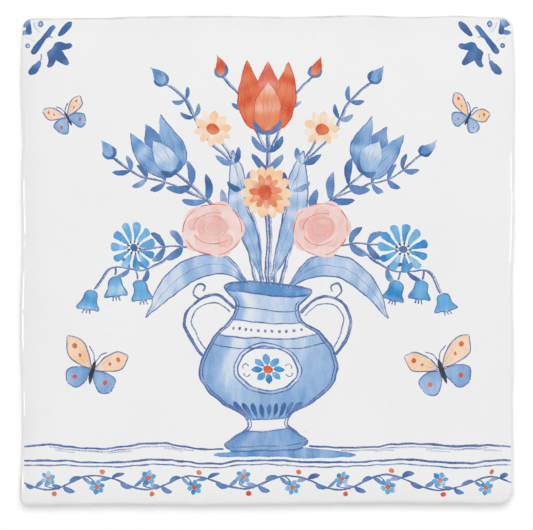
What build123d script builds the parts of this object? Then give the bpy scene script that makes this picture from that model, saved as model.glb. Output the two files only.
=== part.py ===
"""Square decorative wall tile with a hand-cut look.

The tile lies on its back: the bedding face is at Z = 0, the glazed face looks up, and +Y is the top of its
picture. The rim wanders in and out along every edge, the four corners are rounded each in its own way, the
glazed edge is rolled over, and the back is keyed with pressed grooves that the bedding mortar grips.
"""

import os

from build123d import *

# Driving dimensions, in millimetres and degrees
TILE_WIDTH = 150.0  # along X, over the furthest bulges of the rim
TILE_HEIGHT = 148.5  # along Y, over the furthest bulges of the rim
TILE_THICKNESS = 8.0  # from the bedding face to the glazed face
ROLL_RADIUS = 1.6  # of the glazed edge, where the face turns down into the side
BACK_ARRIS = 0.7  # chamfer round the bedding face

GROOVE_WIDTH = 5.0  # of one keying groove, at the bedding face
GROOVE_PITCH = 10.0  # from one groove to the next
GROOVE_DEPTH = 0.8
GROOVE_DRAFT = 20.0  # slope of a groove's walls, so that the press lets go of the clay
GROOVE_MARGIN = 12.0  # plain border between the grooves and the tile's edge

# The rim, counterclockwise. Each corner is given by how far its two edges lie inside the tile's box there,
# along X and along Y, and by the radius of the flat face's corner, inside the rolled edge.
NORTH_EAST = {"inset_x": 0.5, "inset_y": 0.7, "face_radius": 2.4}
NORTH_WEST = {"inset_x": 0.7, "inset_y": 1.0, "face_radius": 1.4}
SOUTH_WEST = {"inset_x": 0.0, "inset_y": 0.0, "face_radius": 0.7}
SOUTH_EAST = {"inset_x": 0.4, "inset_y": 0.4, "face_radius": 2.9}

# Each edge wanders between its two corners. A wave is a crest or hollow of the edge: the share of the way
# along the edge, and how far the edge lies inside the tile's box there.
EAST_WAVES = ((0.14, 0.7), (0.33, 0.5), (0.44, 0.8), (0.56, 0.3), (0.74, 0.3), (0.91, 0.1))
NORTH_WAVES = ((0.09, 0.2), (0.18, 0.6), (0.30, 0.0), (0.41, 0.5), (0.52, 0.4), (0.76, 0.4))
WEST_WAVES = ((0.09, 0.2), (0.22, 0.8), (0.32, 0.5), (0.47, 0.7), (0.59, 0.05), (0.77, 0.6), (0.93, 0.4))
SOUTH_WAVES = ((0.15, 0.3), (0.34, 0.1), (0.64, 0.5), (0.83, 0.6))


def direction(angle):
    """Unit vector in the tile's plane, at that many degrees from +X."""
    return Vector(1, 0, 0).rotate(Axis.Z, angle)


def corner_radius(corner):
    """Radius of a corner in plan: the face's own corner plus the rolled edge round it."""
    return corner["face_radius"] + ROLL_RADIUS


def corner_center(corner, sign_x, sign_y):
    """Centre of a corner's arc. The signs say which way the corner lies from the tile's middle."""
    radius = corner_radius(corner)
    return Vector(
        sign_x * (TILE_WIDTH / 2 - corner["inset_x"] - radius),
        sign_y * (TILE_HEIGHT / 2 - corner["inset_y"] - radius),
    )


def rim_edge(start, end, angle, half_box, waves):
    """One wavy edge from corner arc to corner arc, smooth through its waves. The angle is the way it faces."""
    outward = direction(angle)
    along = direction(angle + 90)
    run = (end - start).dot(along)
    points = [start]
    for share, inset in waves:
        points.append(along * (start.dot(along) + share * run) + outward * (half_box - inset))
    points.append(end)
    return Spline(*points, tangents=(along, along))


# The corners in order, each with its arc's centre, and the edge that runs up to it: the way that the edge
# faces, the box's half size that way, and its waves.
RIM = (
    (NORTH_EAST, corner_center(NORTH_EAST, 1, 1), 0, TILE_WIDTH / 2, EAST_WAVES),
    (NORTH_WEST, corner_center(NORTH_WEST, -1, 1), 90, TILE_HEIGHT / 2, NORTH_WAVES),
    (SOUTH_WEST, corner_center(SOUTH_WEST, -1, -1), 180, TILE_WIDTH / 2, WEST_WAVES),
    (SOUTH_EAST, corner_center(SOUTH_EAST, 1, -1), 270, TILE_HEIGHT / 2, SOUTH_WAVES),
)

# Keying grooves: as many as fit between the margins
groove_length = TILE_WIDTH - 2 * GROOVE_MARGIN
groove_count = int((TILE_HEIGHT - 2 * GROOVE_MARGIN - GROOVE_WIDTH) // GROOVE_PITCH) + 1

with BuildPart() as tile:
    # The slab: the wavy rim carried straight up
    with BuildSketch(Plane.XY) as plan:
        with BuildLine() as rim:
            for index, (corner, center, angle, half_box, waves) in enumerate(RIM):
                previous, previous_center = RIM[index - 1][:2]
                start = previous_center + direction(angle) * corner_radius(previous)
                end = center + direction(angle) * corner_radius(corner)
                rim_edge(start, end, angle, half_box, waves)
                CenterArc(center, corner_radius(corner), angle, 90)
        make_face()
    extrude(amount=TILE_THICKNESS)

    # The rolled glaze edge, and the arris that lets the tile sit flat
    fillet(tile.faces().sort_by(Axis.Z)[-1].edges(), radius=ROLL_RADIUS)
    chamfer(tile.faces().sort_by(Axis.Z)[0].edges(), length=BACK_ARRIS)

    # The keyed back
    with BuildSketch(Plane.XY) as keying:
        with GridLocations(0, GROOVE_PITCH, 1, groove_count):
            SlotOverall(groove_length, GROOVE_WIDTH)
    extrude(amount=GROOVE_DEPTH, taper=GROOVE_DRAFT, mode=Mode.SUBTRACT)

tile.part.label = "tile"

os.makedirs("parts", exist_ok=True)
export_step(tile.part, "parts/tile.step")

box = tile.part.bounding_box()
print("tile", box.size, "lowest", box.min, "volume", round(tile.part.volume), "grooves", groove_count)
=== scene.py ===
# %% [markdown]
# # A painted wall tile
#
# The object is one slab of pressed clay, fired, glazed white and painted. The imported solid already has
# its true size, its wandering rim, its rolled edge and its keyed back. This lesson gives it the looks: a
# glaze that lies a little uneven, edges where the glaze runs thin, a bare clay back, and the painting.
# The solid could simply be given a white material, but then its edge would be too perfect to catch the
# light as a hand-made one does. So the tile is worked out again as a finer surface that stays inside the
# solid's box.

import bpy
import numpy as np
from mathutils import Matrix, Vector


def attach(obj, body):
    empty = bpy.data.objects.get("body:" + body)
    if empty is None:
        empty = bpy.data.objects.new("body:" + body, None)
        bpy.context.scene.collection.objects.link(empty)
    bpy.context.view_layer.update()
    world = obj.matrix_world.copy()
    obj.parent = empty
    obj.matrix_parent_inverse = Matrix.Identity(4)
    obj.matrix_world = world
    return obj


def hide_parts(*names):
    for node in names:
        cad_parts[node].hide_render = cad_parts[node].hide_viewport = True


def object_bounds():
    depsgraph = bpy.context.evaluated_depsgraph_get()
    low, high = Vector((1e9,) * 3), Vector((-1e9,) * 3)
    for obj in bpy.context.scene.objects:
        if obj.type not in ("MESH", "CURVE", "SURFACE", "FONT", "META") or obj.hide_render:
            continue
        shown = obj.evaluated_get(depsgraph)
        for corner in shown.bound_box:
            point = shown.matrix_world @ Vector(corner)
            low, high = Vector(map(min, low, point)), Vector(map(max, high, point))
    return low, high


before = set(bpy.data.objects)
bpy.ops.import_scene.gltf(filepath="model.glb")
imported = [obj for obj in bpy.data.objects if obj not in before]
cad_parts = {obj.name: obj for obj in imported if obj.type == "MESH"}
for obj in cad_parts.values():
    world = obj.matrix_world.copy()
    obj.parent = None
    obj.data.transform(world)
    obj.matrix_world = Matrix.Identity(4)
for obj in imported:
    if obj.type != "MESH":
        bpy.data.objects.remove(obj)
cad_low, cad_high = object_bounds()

MM = 0.001  # the lesson's lengths are in millimetres, and the scene's in metres
BODY = "root"

low = np.array(cad_low) / MM
high = np.array(cad_high) / MM
tile_size = high - low
print("The solid's box in mm:", tile_size.round(2))

# %% [markdown]
# ## The camera
#
# The photograph looks straight down on the tile from far away, so no side wall shows. An orthographic
# camera would do, but a long lens on a camera high above is used instead. Its height follows from the
# tile's width in the photograph, and its place from where the tile's middle lies in the frame, so the
# lens needs no shift.

# %% Camera straight above
PHOTO_SIZE = np.array((533.0, 530.0))  # pixels
TILE_LEFT_TOP = np.array((19.7, 15.1))  # pixels, the outline's box in the photograph
TILE_RIGHT_BOTTOM = np.array((515.2, 505.6))
LENS = 200.0
SENSOR = 36.0
ROLL = 1.6  # radius of the solid's rolled edge: the outline that the camera sees is at its foot

mm_per_pixel = tile_size[0] / (TILE_RIGHT_BOTTOM - TILE_LEFT_TOP)[0]
aim = (PHOTO_SIZE - TILE_LEFT_TOP - TILE_RIGHT_BOTTOM) / 2 * mm_per_pixel * (1, -1)
tile_middle = (low + high)[:2] / 2
camera_height = high[2] - ROLL + LENS / SENSOR * PHOTO_SIZE[0] * mm_per_pixel

camera_data = bpy.data.cameras.new("straight_down")
camera_data.lens = LENS
camera_data.sensor_width = SENSOR
camera_data.sensor_fit = "HORIZONTAL"
camera = bpy.data.objects.new("straight_down", camera_data)
camera.location = (*(tile_middle + aim) * MM, camera_height * MM)
bpy.context.collection.objects.link(camera)
bpy.context.scene.camera = camera
print("Camera", round(camera_height), "mm up,", round(mm_per_pixel, 4), "mm to a pixel")

# %% [markdown]
# ## Nodes without clutter
#
# Every finish below is a small network of shader nodes. Made one call at a time, such networks take
# pages, so six short helpers come first. One adds a node and fills its inputs: an input that gets a
# socket is linked, and any other value is set on it. Three are the mixes, sums and stretches that every
# network needs. The last two turn a screen colour into a linear one and start an empty material.

# %% Helpers for node trees
def add(tree, kind, inputs=None, **settings):
    """Adds a node, sets its properties, and links or sets each named or numbered input."""
    made = tree.nodes.new(kind)
    for name, value in settings.items():
        setattr(made, name, value)
    for name, value in (inputs or {}).items():
        if isinstance(value, bpy.types.NodeSocket):
            tree.links.new(value, made.inputs[name])
        else:
            made.inputs[name].default_value = value
    return made


def blend(tree, share, under, over):
    """The colour that goes from under to over as the share goes from 0 to 1."""
    made = add(tree, "ShaderNodeMix", {0: share, 6: under, 7: over}, data_type="RGBA")
    return made.outputs[2]


def arithmetic(tree, operation, first, second):
    """One arithmetic step on two values, kept as a socket."""
    made = add(tree, "ShaderNodeMath", {0: first, 1: second}, operation=operation)
    return made.outputs[0]


def stretch(tree, value, old, new):
    """The value moved from the range old to the range new, and held inside it."""
    inputs = {"Value": value, "From Min": old[0], "From Max": old[1], "To Min": new[0], "To Max": new[1]}
    return add(tree, "ShaderNodeMapRange", inputs).outputs["Result"]


def linear(red, green, blue):
    """A screen colour, 0 to 255, as the linear colour that shaders work in."""
    screen = np.array((red, green, blue)) / 255
    light = np.where(screen <= 0.04045, screen / 12.92, ((screen + 0.055) / 1.055) ** 2.4)
    return (*light, 1.0)


def new_material(name):
    """A material with an empty node tree."""
    made = bpy.data.materials.new(name)
    made.use_nodes = True
    made.node_tree.nodes.clear()
    return made


print("Middle grey on screen is", round(float(linear(128, 128, 128)[0]), 3), "in linear light")

# %% [markdown]
# ## Light, floor and sky
#
# The photograph is a catalogue picture: white all round, a soft shadow below the tile, faint ones beside
# it and none above, and broken glints on the left and right edges. One soft lamp from the top side throws
# that shadow, and two wide panels, at the left and right, draw the glints. The panels show in reflections
# only, so that they throw no shadow of their own. The floor is pale and diffuse, so it keeps the shadow,
# and light of its own, seen by the camera and by reflections only, lifts it to white.

# %% Lamps
LAMPS = {  # lengths in metres: a place gives only the direction from the tile, and reach the distance
    "key": {"size": (0.90, 0.80), "watts": 28.0, "place": (0.12, 1.0, 4.1), "reach": 2.4},
    "left_panel": {"size": (0.60, 0.32), "watts": 4.7, "place": (-1.0, -0.1, 0.62), "reach": 0.7},
    "right_panel": {"size": (0.60, 0.40), "watts": 3.1, "place": (1.0, 0.0, 0.90), "reach": 0.7},
}
for name, lamp in LAMPS.items():
    data = bpy.data.lights.new(name, "AREA")
    data.shape = "RECTANGLE"
    data.size, data.size_y = lamp["size"]
    data.energy = lamp["watts"]
    shining = bpy.data.objects.new(name, data)
    way = np.array(lamp["place"]) / np.linalg.norm(lamp["place"])
    shining.location = way * lamp["reach"]
    bpy.context.collection.objects.link(shining)
    back_to_lamp = shining.location.copy()
    shining.rotation_euler = back_to_lamp.to_track_quat("Z", "Y").to_euler()
    shining.visible_glossy = name != "key"  # the key's own image would draw a line on the top edge
    shining.visible_diffuse = name == "key"
print("Lamps:", ", ".join(LAMPS))

# %% White sky
SKY_LIGHT = 0.54


def seen_directly(tree):
    """1 for rays from the camera, from a reflection or through glass, 0 for light that falls on things."""
    path = add(tree, "ShaderNodeLightPath").outputs
    mirrored = arithmetic(tree, "MAXIMUM", path["Is Glossy Ray"], path["Is Transmission Ray"])
    return arithmetic(tree, "MAXIMUM", path["Is Camera Ray"], mirrored)


world = bpy.data.worlds.new("white_sky")
world.use_nodes = True
sky = world.node_tree
sky.nodes.clear()
sky_strength = stretch(sky, seen_directly(sky), (0.0, 1.0), (SKY_LIGHT, 1.0))
background = add(sky, "ShaderNodeBackground", {"Color": (1, 1, 1, 1), "Strength": sky_strength})
add(sky, "ShaderNodeOutputWorld", {"Surface": background.outputs[0]})
bpy.context.scene.world = world
print("Light of the sky on the tile:", SKY_LIGHT)

# %% Pale floor
FLOOR_COLOUR = 0.75
FLOOR_OWN_LIGHT = 0.258
FLOOR_HALF = 2.0  # metres
FLOOR_DROP = 0.05 * MM  # keeps the floor from touching the tile's back

floor_paper = new_material("floor_paper")
tree = floor_paper.node_tree
matte = add(tree, "ShaderNodeBsdfDiffuse", {"Color": (FLOOR_COLOUR, FLOOR_COLOUR, FLOOR_COLOUR, 1)})
own_light = stretch(tree, seen_directly(tree), (0.0, 1.0), (0.0, FLOOR_OWN_LIGHT))
glow = add(tree, "ShaderNodeEmission", {"Color": (1, 1, 1, 1), "Strength": own_light})
both = add(tree, "ShaderNodeAddShader", {0: matte.outputs[0], 1: glow.outputs[0]})
add(tree, "ShaderNodeOutputMaterial", {"Surface": both.outputs[0]})

floor_mesh = bpy.data.meshes.new("floor")
floor_corners = np.array(((-1, -1, 0), (1, -1, 0), (1, 1, 0), (-1, 1, 0))) * FLOOR_HALF
floor_corners = floor_corners - (0, 0, FLOOR_DROP)
floor_mesh.from_pydata(floor_corners.tolist(), [], [(0, 1, 2, 3)])
floor_mesh.materials.append(floor_paper)
floor = bpy.data.objects.new("floor", floor_mesh)
bpy.context.collection.objects.link(floor)
bpy.context.scene.view_settings.view_transform = "Standard"
print("Floor", 2 * FLOOR_HALF, "m wide")

# %% [markdown]
# ## The rim
#
# A hand-cut tile has no straight edge. The solid's rim already wanders, so the fine surface takes its
# outline from the solid's own mesh: the points where the straight side meets the rolled edge, in order
# round the middle. That mesh has facets, which a glossy edge would show. Writing the outline as a Fourier
# series and fading out the waves shorter than a facet gives a smooth line at the same place.

# %% Read and smooth the outline
SHORTEST_WAVE = 1.6  # shorter waves of the outline are facets
RIM_SAMPLES = 4096
RIM_NEARNESS = 0.001  # how far off its level a point of the rim may lie in the solid's mesh


def node_points(node):
    """All vertex places of a mesh object, in mm."""
    flat = np.empty(3 * len(node.data.vertices))
    node.data.vertices.foreach_get("co", flat)
    return flat.reshape(-1, 3) / MM


def lengths_along(line):
    """Distance run at each point of a polyline."""
    return np.concatenate(([0.0], np.cumsum(np.linalg.norm(np.diff(line, axis=0), axis=1))))


def at_shares(line, shares):
    """Points of a polyline at shares of its length."""
    run = lengths_along(line)
    return np.stack([np.interp(np.asarray(shares) * run[-1], run, line[:, k]) for k in (0, 1)], axis=1)


def smooth_loop(loop):
    """A closed outline with its short waves faded: its Fourier series times a bell over the wave number."""
    loop = np.concatenate((loop, loop[:1]))
    steps = at_shares(loop, np.arange(RIM_SAMPLES) / RIM_SAMPLES)
    series = np.fft.fft(steps[:, 0] + 1j * steps[:, 1])
    waves_round = np.abs(np.fft.fftfreq(RIM_SAMPLES, 1 / RIM_SAMPLES))
    fade = np.exp(-((waves_round * SHORTEST_WAVE / lengths_along(loop)[-1]) ** 2))
    smooth = np.fft.ifft(series * fade)
    return np.stack((smooth.real, smooth.imag), axis=1)


solid_points = node_points(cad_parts["tile"])
on_rim = np.abs(solid_points[:, 2] - (high[2] - ROLL)) < RIM_NEARNESS
rim_points = np.unique(solid_points[on_rim, :2].round(4), axis=0)
rim_points = rim_points[np.argsort(np.arctan2(rim_points[:, 1], rim_points[:, 0]))]
rim = smooth_loop(rim_points)
rim_along = np.roll(rim, -1, axis=0) - np.roll(rim, 1, axis=0)
rim_inward = np.stack((-rim_along[:, 1], rim_along[:, 0]), axis=1)
rim_inward /= np.linalg.norm(rim_inward, axis=1, keepdims=True)
print("Rim of", len(rim_points), "points in the solid, box", np.ptp(rim, axis=0).round(2), "mm")

# %% [markdown]
# ## The lie of the glaze
#
# Glaze is poured on as a thin cream and melts in the kiln. It settles nearly flat, with long low swells
# that only show when a window slides over them. A noise texture could fake them, but the paint has to lie
# on the same surface, so the swells are a formula that can be asked for the height at any place: a sum of
# sine waves in random directions. Close to the rim the same formula turns down over the rolled edge.

# %% Height of the glaze at any place
FACE_LEVEL = high[2] - 0.095  # mean height of the face, which leaves room for swells and paint in the box
SWELL_LONG = (34.0, 0.011)  # wave length and height
SWELL_SHORT = (11.0, 0.004)
ROLL_LONG = (15.0, 0.22)  # the edge is rolled more and less, by half these heights
ROLL_SHORT = (4.5, 0.10)
NEAR_RIM = 4.0  # further in, the rolled edge has no say


def ripple(x, y, length, seed, waves=9):
    """Random swells of about unit height: the sum of sine waves of about that length, in random
    directions, over the square root of half their number."""
    draw = np.random.default_rng(seed)
    heading = draw.uniform(0, 2 * np.pi, waves)
    pitch = 2 * np.pi / (length * draw.uniform(0.7, 1.5, waves))
    phase = draw.uniform(0, 2 * np.pi, waves)
    turn = np.multiply.outer(x, pitch * np.cos(heading)) + np.multiply.outer(y, pitch * np.sin(heading))
    return np.sin(turn + phase).sum(-1) / np.sqrt(waves / 2)


def face_height(x, y):
    """Height of the open face: its mean level plus long and short swells."""
    long_swell = SWELL_LONG[1] * ripple(x, y, SWELL_LONG[0], seed=11)
    return FACE_LEVEL + long_swell + SWELL_SHORT[1] * ripple(x, y, SWELL_SHORT[0], seed=12)


def roll_radius(x, y):
    """Radius of the rolled edge near a place: the solid's radius plus two waves along the rim."""
    long_wave = ROLL_LONG[1] * ripple(x, y, ROLL_LONG[0], seed=13) / 2
    return ROLL + long_wave + ROLL_SHORT[1] * ripple(x, y, ROLL_SHORT[0], seed=14) / 2


def room_to_box(x, y):
    """Distance from a place to the nearest side of the tile's box."""
    return np.minimum(np.minimum(x - low[0], high[0] - x), np.minimum(y - low[1], high[1] - y))


def near_rim(x, y):
    """Which places are near the rim and, for those, the number of the rim's nearest sample and the
    distance from it, counted inward."""
    edge = room_to_box(x, y) < NEAR_RIM
    away = np.stack((x[edge], y[edge]), axis=1)[:, None] - rim[None]
    closest = (away**2).sum(axis=2).argmin(axis=1)
    from_closest = away[np.arange(len(closest)), closest]
    return edge, closest, (from_closest * rim_inward[closest]).sum(axis=1)


def glaze_height(x, y):
    """Height of the glaze: the face, less the drop of a quarter circle where the place is nearer to the
    rim than the rolled edge's radius."""
    height = face_height(x, y)
    edge, closest, gap = near_rim(x, y)
    radius = roll_radius(*rim[closest].T)
    into_roll = np.clip(radius - gap, 0, radius)
    height[edge] -= radius - np.sqrt(radius**2 - into_roll**2)
    return height


probe = np.random.default_rng(1).uniform(-60, 60, (2, 4000))
print("Face swells by", np.ptp(face_height(*probe)).round(3), "mm")

# %% [markdown]
# ## The slab
#
# The slab is one closed surface in three fields that share their borders. The face is a four-sided patch:
# a Coons patch fills the space between four wavy border lines by sliding each pair along the other. The
# edge is a profile carried round the rim: a quarter circle, the straight side and the small bevel at the
# back. The back is a second patch, pressed up where the keying grooves are. Rows and columns crowd at the
# grooves' walls and ends, because evenly spaced ones would leave ragged steps there.

# %% Where rows and columns go
COLUMNS = 170
ROWS = 208
GROOVE_WIDTH = 5.0  # the keyed back, as in the solid
GROOVE_PITCH = 10.0
GROOVE_COUNT = 12
GROOVE_LENGTH = 126.0
GROOVE_DEPTH = 0.8
GROOVE_WALL = 0.55  # a pressed wall is a little softer than the solid's
CROWD_ACROSS = (0.016, 2.0)  # how far columns crowd round a place, as a share of the width, and how much
CROWD_UP = (0.005, 2.2)  # and rows, as a share of the height
CROWD_SAMPLES = 6001

groove_rows = (np.arange(GROOVE_COUNT) - (GROOVE_COUNT - 1) / 2) * GROOVE_PITCH


def crowded(count, places, reach, pull):
    """Shares from 0 to 1 that crowd round some places: the running sum of a density, which is one plus a bell
    round each place, read backwards at even steps."""
    share = np.linspace(0, 1, CROWD_SAMPLES)
    density = 1 + pull * np.exp(-(((share[:, None] - places) / reach) ** 2)).sum(axis=1)
    run = np.concatenate(([0.0], np.cumsum((density[1:] + density[:-1]) / 2)))
    return np.interp(np.linspace(0, run[-1], count + 1), run, share)


wall_places = np.concatenate([groove_rows + side * (GROOVE_WIDTH - GROOVE_WALL) / 2 for side in (-1, 1)])
end_places = np.array((-1, 1)) * (GROOVE_LENGTH - GROOVE_WIDTH / 2) / 2
across_places = np.concatenate(((end_places - low[0]) / tile_size[0], (0.0, 1.0)))
up_places = np.concatenate(((wall_places - low[1]) / tile_size[1], (0.0, 1.0)))
across_shares = crowded(COLUMNS, across_places, *CROWD_ACROSS)
up_shares = crowded(ROWS, up_places, *CROWD_UP)
print("Finest step", (np.diff(up_shares).min() * tile_size[1]).round(2), "mm over the groove walls")

# %% The rim as four sides
corner_signs = np.array(((-1, -1), (1, -1), (1, 1), (-1, 1)))  # southwest, southeast, northeast, northwest
corner_at = [int(np.argmax(rim @ sign)) for sign in corner_signs]
shares_of_side = (across_shares, up_shares, 1 - across_shares[::-1], 1 - up_shares[::-1])


def side_points(start, end, shares):
    """The rim from one corner to the next, counterclockwise, at the given shares, without the last point."""
    stretch_of_rim = np.roll(rim, -start, axis=0)[: (end - start) % RIM_SAMPLES + 1]
    return at_shares(stretch_of_rim, shares)[:-1]


sides = [
    side_points(corner_at[k], corner_at[(k + 1) % 4], shares_of_side[k])
    for k in range(4)
]
ring = np.concatenate(sides)
tangent = np.roll(ring, -1, axis=0) - np.roll(ring, 1, axis=0)
tangent /= np.linalg.norm(tangent, axis=1, keepdims=True)
inward = np.stack((-tangent[:, 1], tangent[:, 0]), axis=1)
print(len(ring), "points round the rim")

# %% Patches between four borders
GRID = (ROWS + 1, COLUMNS + 1)


def border_ids():
    """Grid numbers of a patch's border, counterclockwise from the southwest corner, each corner once."""
    ids = np.arange(GRID[0] * GRID[1]).reshape(GRID)
    return np.concatenate((ids[0, :-1], ids[:-1, -1], ids[-1, :0:-1], ids[:0:-1, 0]))


def coons_patch(border):
    """The Coons patch of a closed border: south to north blend, plus west to east blend, less the blend
    of the four corners."""
    south, east, north, west = np.split(border, np.cumsum((COLUMNS, ROWS, COLUMNS)))
    south_row = np.concatenate((south, east[:1]))
    east_column = np.concatenate((east, north[:1]))
    north_row = np.concatenate((north, west[:1]))[::-1]
    west_column = np.concatenate((west, south[:1]))[::-1]
    u = across_shares[None, :, None]
    v = up_shares[:, None, None]
    lengthwise = (1 - v) * south_row[None] + v * north_row[None]
    crosswise = (1 - u) * west_column[:, None] + u * east_column[:, None]
    bottom = (1 - u) * south_row[0] + u * south_row[-1]
    top = (1 - u) * north_row[0] + u * north_row[-1]
    return lengthwise + crosswise - (1 - v) * bottom - v * top


def groove_height(x, y):
    """How far the back is pressed up: the groove depth, eased over the wall, where the distance to the
    nearest groove's middle line is less than half a groove."""
    nearest = groove_rows[np.abs(y[..., None] - groove_rows).argmin(axis=-1)]
    past_end = np.maximum(np.abs(x) - (GROOVE_LENGTH - GROOVE_WIDTH) / 2, 0)
    inside = np.clip((GROOVE_WIDTH / 2 - np.hypot(past_end, y - nearest)) / GROOVE_WALL, 0, 1)
    return GROOVE_DEPTH * inside**2 * (3 - 2 * inside)


print("A patch has", GRID[0], "rows and", GRID[1], "columns")

# %% The edge profile
ROLL_STEPS = 13
SIDE_STEPS = 8
BEVEL = 0.7  # at the back, as in the solid
BEVEL_STEPS = 4

edge_radius = roll_radius(ring[:, 0], ring[:, 1])
edge_top = face_height(*(ring + inward * edge_radius[:, None]).T)
turns = np.linspace(0, np.pi / 2, ROLL_STEPS)
side_shares = np.linspace(0, 1, SIDE_STEPS + 1)[1:]
bevel_shares = np.linspace(0, 1, BEVEL_STEPS + 1)[1:]

roll_in = np.multiply.outer(1 - np.sin(turns), edge_radius)
roll_level = edge_top - np.multiply.outer(1 - np.cos(turns), edge_radius)
side_in = np.zeros((SIDE_STEPS, len(ring)))
side_level = roll_level[-1] + np.multiply.outer(side_shares, BEVEL - roll_level[-1])
bevel_in = np.multiply.outer(BEVEL * (1 - np.cos(bevel_shares * np.pi / 2)), np.ones(len(ring)))
bevel_level = np.multiply.outer(BEVEL * (1 - np.sin(bevel_shares * np.pi / 2)), np.ones(len(ring)))
edge_in = np.concatenate((roll_in, side_in, bevel_in))
edge_level = np.concatenate((roll_level, side_level, bevel_level))
print("The rolled edge has a radius of", edge_radius.min().round(2), "to", edge_radius.max().round(2), "mm")

# %% A rough side with nicks
SIDE_DENT = 0.05  # the side is rough by this much at most, always inward
DENT_LENGTH = 5.0
DENT_MEAN = 0.5  # shares of the most
DENT_VARIES = 0.25
DENT_SLANT = 2  # dents lean along the side by this many times their height
NICKS = (  # small losses along the edge: place on the rim, radius and depth
    (-75.0, 36.5, 2.2, 0.30),
    (-75.0, -3.0, 1.2, 0.22),
    (-48.0, 74.0, 1.6, 0.20),
    (75.0, -41.0, 1.8, 0.22),
    (22.0, -74.0, 1.5, 0.16),
)
NICK_LEVEL = 6.8  # height of their middles
NICK_RISE = 1.2  # how far they reach up and down

steepness = np.concatenate((np.sin(turns), np.ones(SIDE_STEPS), 1 - bevel_shares))[:, None]
slanted_x = ring[:, 0] + edge_level * DENT_SLANT
dents = DENT_MEAN + DENT_VARIES * ripple(slanted_x, ring[:, 1], DENT_LENGTH, seed=21)
edge_in = edge_in + SIDE_DENT * np.clip(dents, 0, 1) * steepness
nick_band = np.exp(-(((edge_level - NICK_LEVEL) / NICK_RISE) ** 2))
for place_x, place_y, reach, depth in NICKS:
    gap = np.hypot(ring[:, 0] - place_x, ring[:, 1] - place_y)
    edge_in = edge_in + depth * np.exp(-((gap / reach) ** 2)) * steepness**2 * nick_band
print(len(NICKS), "nicks, the deepest", max(nick[3] for nick in NICKS), "mm")

# %% The whole slab
edge_plan = ring[None] + inward[None] * edge_in[:, :, None]
face_plan = coons_patch(edge_plan[0])
back_plan = coons_patch(edge_plan[-1])
face_level = face_height(face_plan[..., 0], face_plan[..., 1])
back_level = groove_height(back_plan[..., 0], back_plan[..., 1])

face_ids = np.arange(GRID[0] * GRID[1]).reshape(GRID)
between = len(edge_plan) - 2
edge_ids = face_ids.size + np.arange(between * len(ring)).reshape(between, -1)
back_ids = face_ids.size + edge_ids.size + face_ids
ring_ids = np.concatenate((border_ids()[None], edge_ids, (back_ids.flat[0] + border_ids())[None]))


def with_level(plan, level):
    """Plan places and heights as one list of points."""
    return np.concatenate((plan.reshape(-1, 2), level.reshape(-1, 1)), axis=1)


def grid_faces(ids):
    """The four corners of each cell of a grid of point numbers, counterclockwise."""
    return np.stack((ids[:-1, :-1], ids[:-1, 1:], ids[1:, 1:], ids[1:, :-1]), axis=-1).reshape(-1, 4)


slab_points = np.concatenate(
    (
        with_level(face_plan, face_level),
        with_level(edge_plan[1:-1], edge_level[1:-1]),
        with_level(back_plan, back_level),
    )
)
closed_ring_ids = np.concatenate((ring_ids, ring_ids[:, :1]), axis=1)
slab_faces = np.concatenate(
    (grid_faces(face_ids), grid_faces(closed_ring_ids[::-1]), grid_faces(back_ids[:, ::-1]))
)
print("Slab:", len(slab_points), "points,", 2 * len(slab_faces), "triangles")

# %% [markdown]
# ## Where glaze ends and clay begins
#
# Six facts about each point of the slab steer its finish, so they are stored on the mesh as attributes.
# Cover is one where glaze lies and zero on bare clay: the glaze stops low on the side in an uneven line.
# Arris is how far the melted glaze has drawn off the edge, so that the warm clay shows, in patches and
# mostly along the top. On a stretch of the west edge it also carries a dark line of painted shade. Dull is
# where the rolled edge has lost its shine. It has kept it in short stretches, which catch the light as
# broken glints. The foot light is painted light that whitens the glaze at the foot of the rolled edge, most
# on the east. The shade is painted shade that greys the face towards its rim, most on the west and south,
# and keyed is the depth in a groove of the back.

# %% Values along the rim
STRETCH_FADES = 0.8


def eased(value):
    """A value held between 0 and 1, with a soft start and end."""
    value = np.clip(value, 0, 1)
    return value**2 * (3 - 2 * value)


def by_side(values):
    """A value at each point of the rim from one each for north, east, south and west: their mean,
    weighted by the square of how far the rim faces each side."""
    facing = np.concatenate((-inward[:, ::-1], inward[:, ::-1]), axis=1)
    return np.clip(facing, 0, 1) ** 2 @ np.array(values)


def edge_stretch(side, start, end):
    """1 on the west edge, side -1, or the east edge, side 1, between two places along Y, with soft ends."""
    within = eased((ring[:, 1] - start) / STRETCH_FADES) * eased((end - ring[:, 1]) / STRETCH_FADES)
    return within * (side * ring[:, 0] > 0)


print("North faces", round(by_side((1, 0, 0, 0)).mean() * 100), "% of the rim")

# %% Cover, and arris with a stretch of painted shade
GLAZE_STOPS = 1.0  # mean height of the glaze's lower line on the side
GLAZE_WANDERS = (16.0, 0.4)  # wave length of that line, and twice its height
GLAZE_FADES = 0.5
BARE_SIDES = (1.0, 0.15, 0.1, 0.1)  # how bare the arris is: north, east, south and west
BARE_PATCH = 13.0  # length of a bare patch
BARE_MEAN = 0.58
BARE_VARIES = 0.24
BARE_TURN = (0.5, 0.8)  # sine of the edge's slope where it starts to be bare, and where it is
# Painted shade: a dark line on the west arris near the southwest corner, given as bare arris.
SHADED_STRETCH = (-73.2, -65.5, 0.8)  # along Y, where the west arris is bare as well, and how bare
ARRIS_FADES = 1.2  # how far down the side the bare patches reach

stop_line = GLAZE_STOPS + GLAZE_WANDERS[1] * ripple(*ring.T, GLAZE_WANDERS[0], seed=31) / 2
edge_cover = eased((edge_level - stop_line) / GLAZE_FADES + 0.5)

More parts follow.
